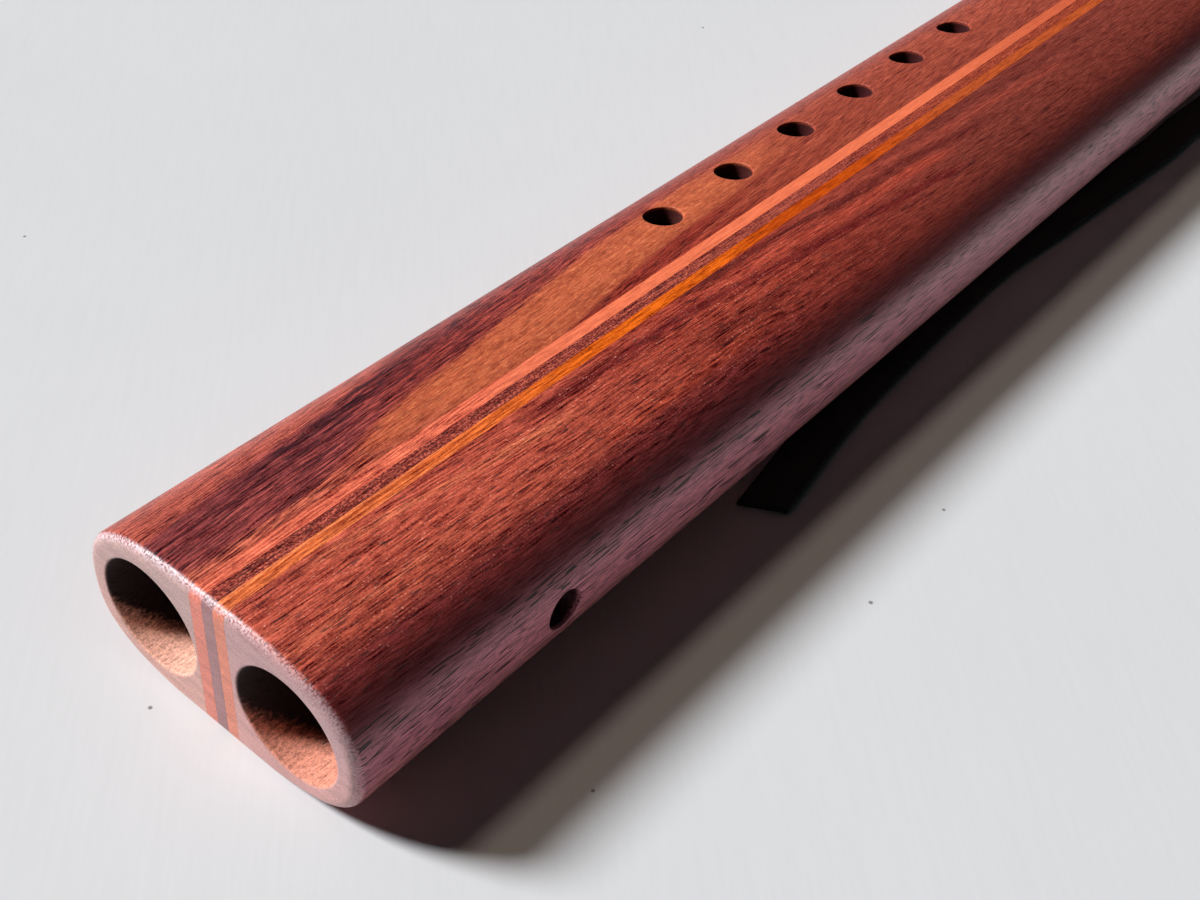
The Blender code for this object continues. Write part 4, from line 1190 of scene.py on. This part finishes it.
around = tie_section(192)
for px in (-PIPE_X * MM, PIPE_X * MM):
    around += [(px + x, BLOCK_Z + z) for x, z in saddle_section()]
off = 0.3 * MM + STRAP_T / 2
loop = np.array(convex([(x + off * math.cos(a), z + off * math.sin(a)) for x, z in around for a in np.linspace(0, 2 * math.pi, 36, endpoint=False)]))
loop = np.vstack([loop, loop[:1]])
at = np.concatenate([[0], np.cumsum(np.linalg.norm(np.diff(loop, axis=0), axis=1))])
want = np.linspace(0, at[-1], 241)[:-1]
loop = np.stack([np.interp(want, at, loop[:, 0]), np.interp(want, at, loop[:, 1])], axis=1)
start = min(range(len(loop)), key=lambda k: abs(loop[k][1] - KNOT_Z) if loop[k][0] > 0 else 1.0)
loop = np.roll(loop, -start, axis=0)
line, outs = [], []
for k in range(2 * len(loop) + 1):
    x, z = loop[k % len(loop)]
    tangent = loop[(k + 1) % len(loop)] - loop[(k - 1) % len(loop)]
    tangent /= np.linalg.norm(tangent)
    whole, part = divmod(k / len(loop), 1.0)
    line.append((x, TIE_Y + TURN_PITCH * (whole + eased((part - 0.52) / 0.30)), z))
    outs.append((tangent[1], 0.0, -tangent[0]))
turns = ribbon("strap_turns", line, outs, STRAP_W, STRAP_T)
turns.data.materials.append(WOODS["black_leather"])
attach(turns, "flute_body")
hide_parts("tie_wraps")

# A flat overhand knot: one fold runs from tail to tail, the other crosses over it and goes back under.
out = np.array([outs[0][0], 0.0, outs[0][2]])
rise = np.array([-out[2], 0.0, out[0]])
along = np.array([0.0, 1.0, 0.0])
centre = np.array([loop[0][0], TIE_Y + TURN_PITCH, loop[0][1]]) + out * (0.3 * MM + STRAP_T / 2)
folds = [
    ([(-13.5, -6.4, 5.36), (-10.6, -5.7, 5.5), (-7.4, -3.9, 5.2), (-4.0, -1.5, 4.3), (0.0, -0.3, 3.6), (4.0, -1.3, 4.3), (7.4, -3.8, 5.2), (10.6, -5.7, 5.5), (13.5, -6.4, 5.36)], 0.72, -0.31),
    ([(-2.4, -7.2, 1.0), (-2.5, -7.0, 3.2), (-1.6, -4.6, 5.6), (0.0, -0.8, 6.0), (1.5, 3.0, 4.7), (2.4, 5.2, 2.6), (2.6, 5.6, 0.9)], 0.86, 0.0),
    ([(-6.4, 4.6, 0.9), (-4.6, 4.1, 2.3), (-1.0, 2.4, 2.9), (2.6, 0.0, 2.6), (6.0, -2.2, 1.8), (8.0, -3.4, 0.9)], 0.80, 0.0),
]
parts = []
for number, (fold, waist, tilt) in enumerate(folds):
    points, _ = smooth_path([(a * MM, b * MM, c * MM) for a, b, c in fold], 60)
    path = [centre + along * p[0] + rise * p[1] + out * p[2] for p in points]
    steps = np.gradient(np.array(path), axis=0)
    share = np.abs(np.linspace(-1.0, 1.0, len(path)))
    faces_out = []
    for step, away in zip(steps, share):
        side = along if number == 1 else rise - out * tilt * eased((away - 0.45) / 0.5)
        n = np.cross(step, side)
        n /= np.linalg.norm(n)
        faces_out.append(n if n @ out > 0 else -n)
    parts.append(ribbon(f"knot_fold_{number}", path, faces_out, STRAP_W, STRAP_T, squeeze=[waist + (1.0 - waist) * eased((away - 0.2) / 0.7) for away in share]))
bpy.ops.object.select_all(action="DESELECT")
for part in parts:
    part.select_set(True)
bpy.context.view_layer.objects.active = parts[0]
bpy.ops.object.join()
knot = parts[0]
knot.name = "strap_knot"
knot.data.materials.append(WOODS["black_leather"])
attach(knot, "flute_body")
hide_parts("tie_knot")

# ---------------------------------------------------------------- floor and light
floor_mesh = bpy.data.meshes.new("floor")
floor_mesh.from_pydata([(-6, -6, -0.0002), (6, -6, -0.0002), (6, 6, -0.0002), (-6, 6, -0.0002)], [], [(0, 1, 2, 3)])
floor = bpy.data.objects.new("floor", floor_mesh)
scene.collection.objects.link(floor)
floor_material, tree, shader, x, y, z = material("floor")
across, down = x * 0.71 + y * 0.70, x * -0.70 + y * 0.71
brushed = noise(joined(across * 0.9, down * 0.05, 0.0), detail=4.0, roughness=0.65)
mottled = noise(joined(x * 0.012, y * 0.012, 0.0), detail=3.0)
specks = x * 0.0
for fleck_x, fleck_y, fleck_r in ((-13.1, -4.7, 0.5), (51.3, 32.4, 0.45), (62.7, 99.1, 0.55), (60.2, 130.5, 0.45), (-96.0, 260.0, 0.5), (-140.0, 60.0, 0.45), (170.0, 330.0, 0.5), (84.0, -60.0, 0.45)):
    away = ((x - fleck_x).math("POWER", 2.0) + (y - fleck_y).math("POWER", 2.0)).math("SQRT")
    specks = specks + away.step(fleck_r * 0.5, fleck_r, 1.0, 0.0)
painted = mixed(brushed.step(0.3, 0.7) * 0.6 + mottled.step(0.3, 0.7) * 0.4, (0.735, 0.757, 0.775), (0.765, 0.785, 0.803))
plug(tree, mixed(specks.clamped() * 0.75, painted, (0.10, 0.09, 0.09)), shader, "Base Color")
bumped(tree, shader, [(brushed, 0.3, 0.05)])
shader.inputs["Roughness"].default_value = 0.8
shader.inputs["Specular IOR Level"].default_value = 0.3
floor_mesh.materials.append(floor_material)

world = bpy.data.worlds.new("studio")
world.use_nodes = True
world.node_tree.nodes["Background"].inputs["Color"].default_value = (0.72, 0.97, 1.0, 1)
world.node_tree.nodes["Background"].inputs["Strength"].default_value = 0.0125
scene.world = world


def far_light(name, towards, steepness, strength, softness, colour):
    """Light from far away: the compass direction it comes from and its angle from straight above, in degrees."""
    data = bpy.data.lights.new(name, "SUN")
    data.energy, data.angle, data.color = strength, math.radians(softness), colour
    made = bpy.data.objects.new(name, data)
    scene.collection.objects.link(made)
    a, b = math.radians(towards), math.radians(steepness)
    source = Vector((math.cos(a) * math.sin(b), math.sin(a) * math.sin(b), math.cos(b)))
    made.rotation_mode = "QUATERNION"
    made.rotation_quaternion = source.to_track_quat("Z", "Y")
    return made


far_light("key", 210, 51.5, 4.2, 13, (0.99, 1.0, 1.02))
far_light("fill", 213, 36, 0.44, 8, (1.0, 0.80, 0.64))

scene.view_settings.view_transform = "Standard"
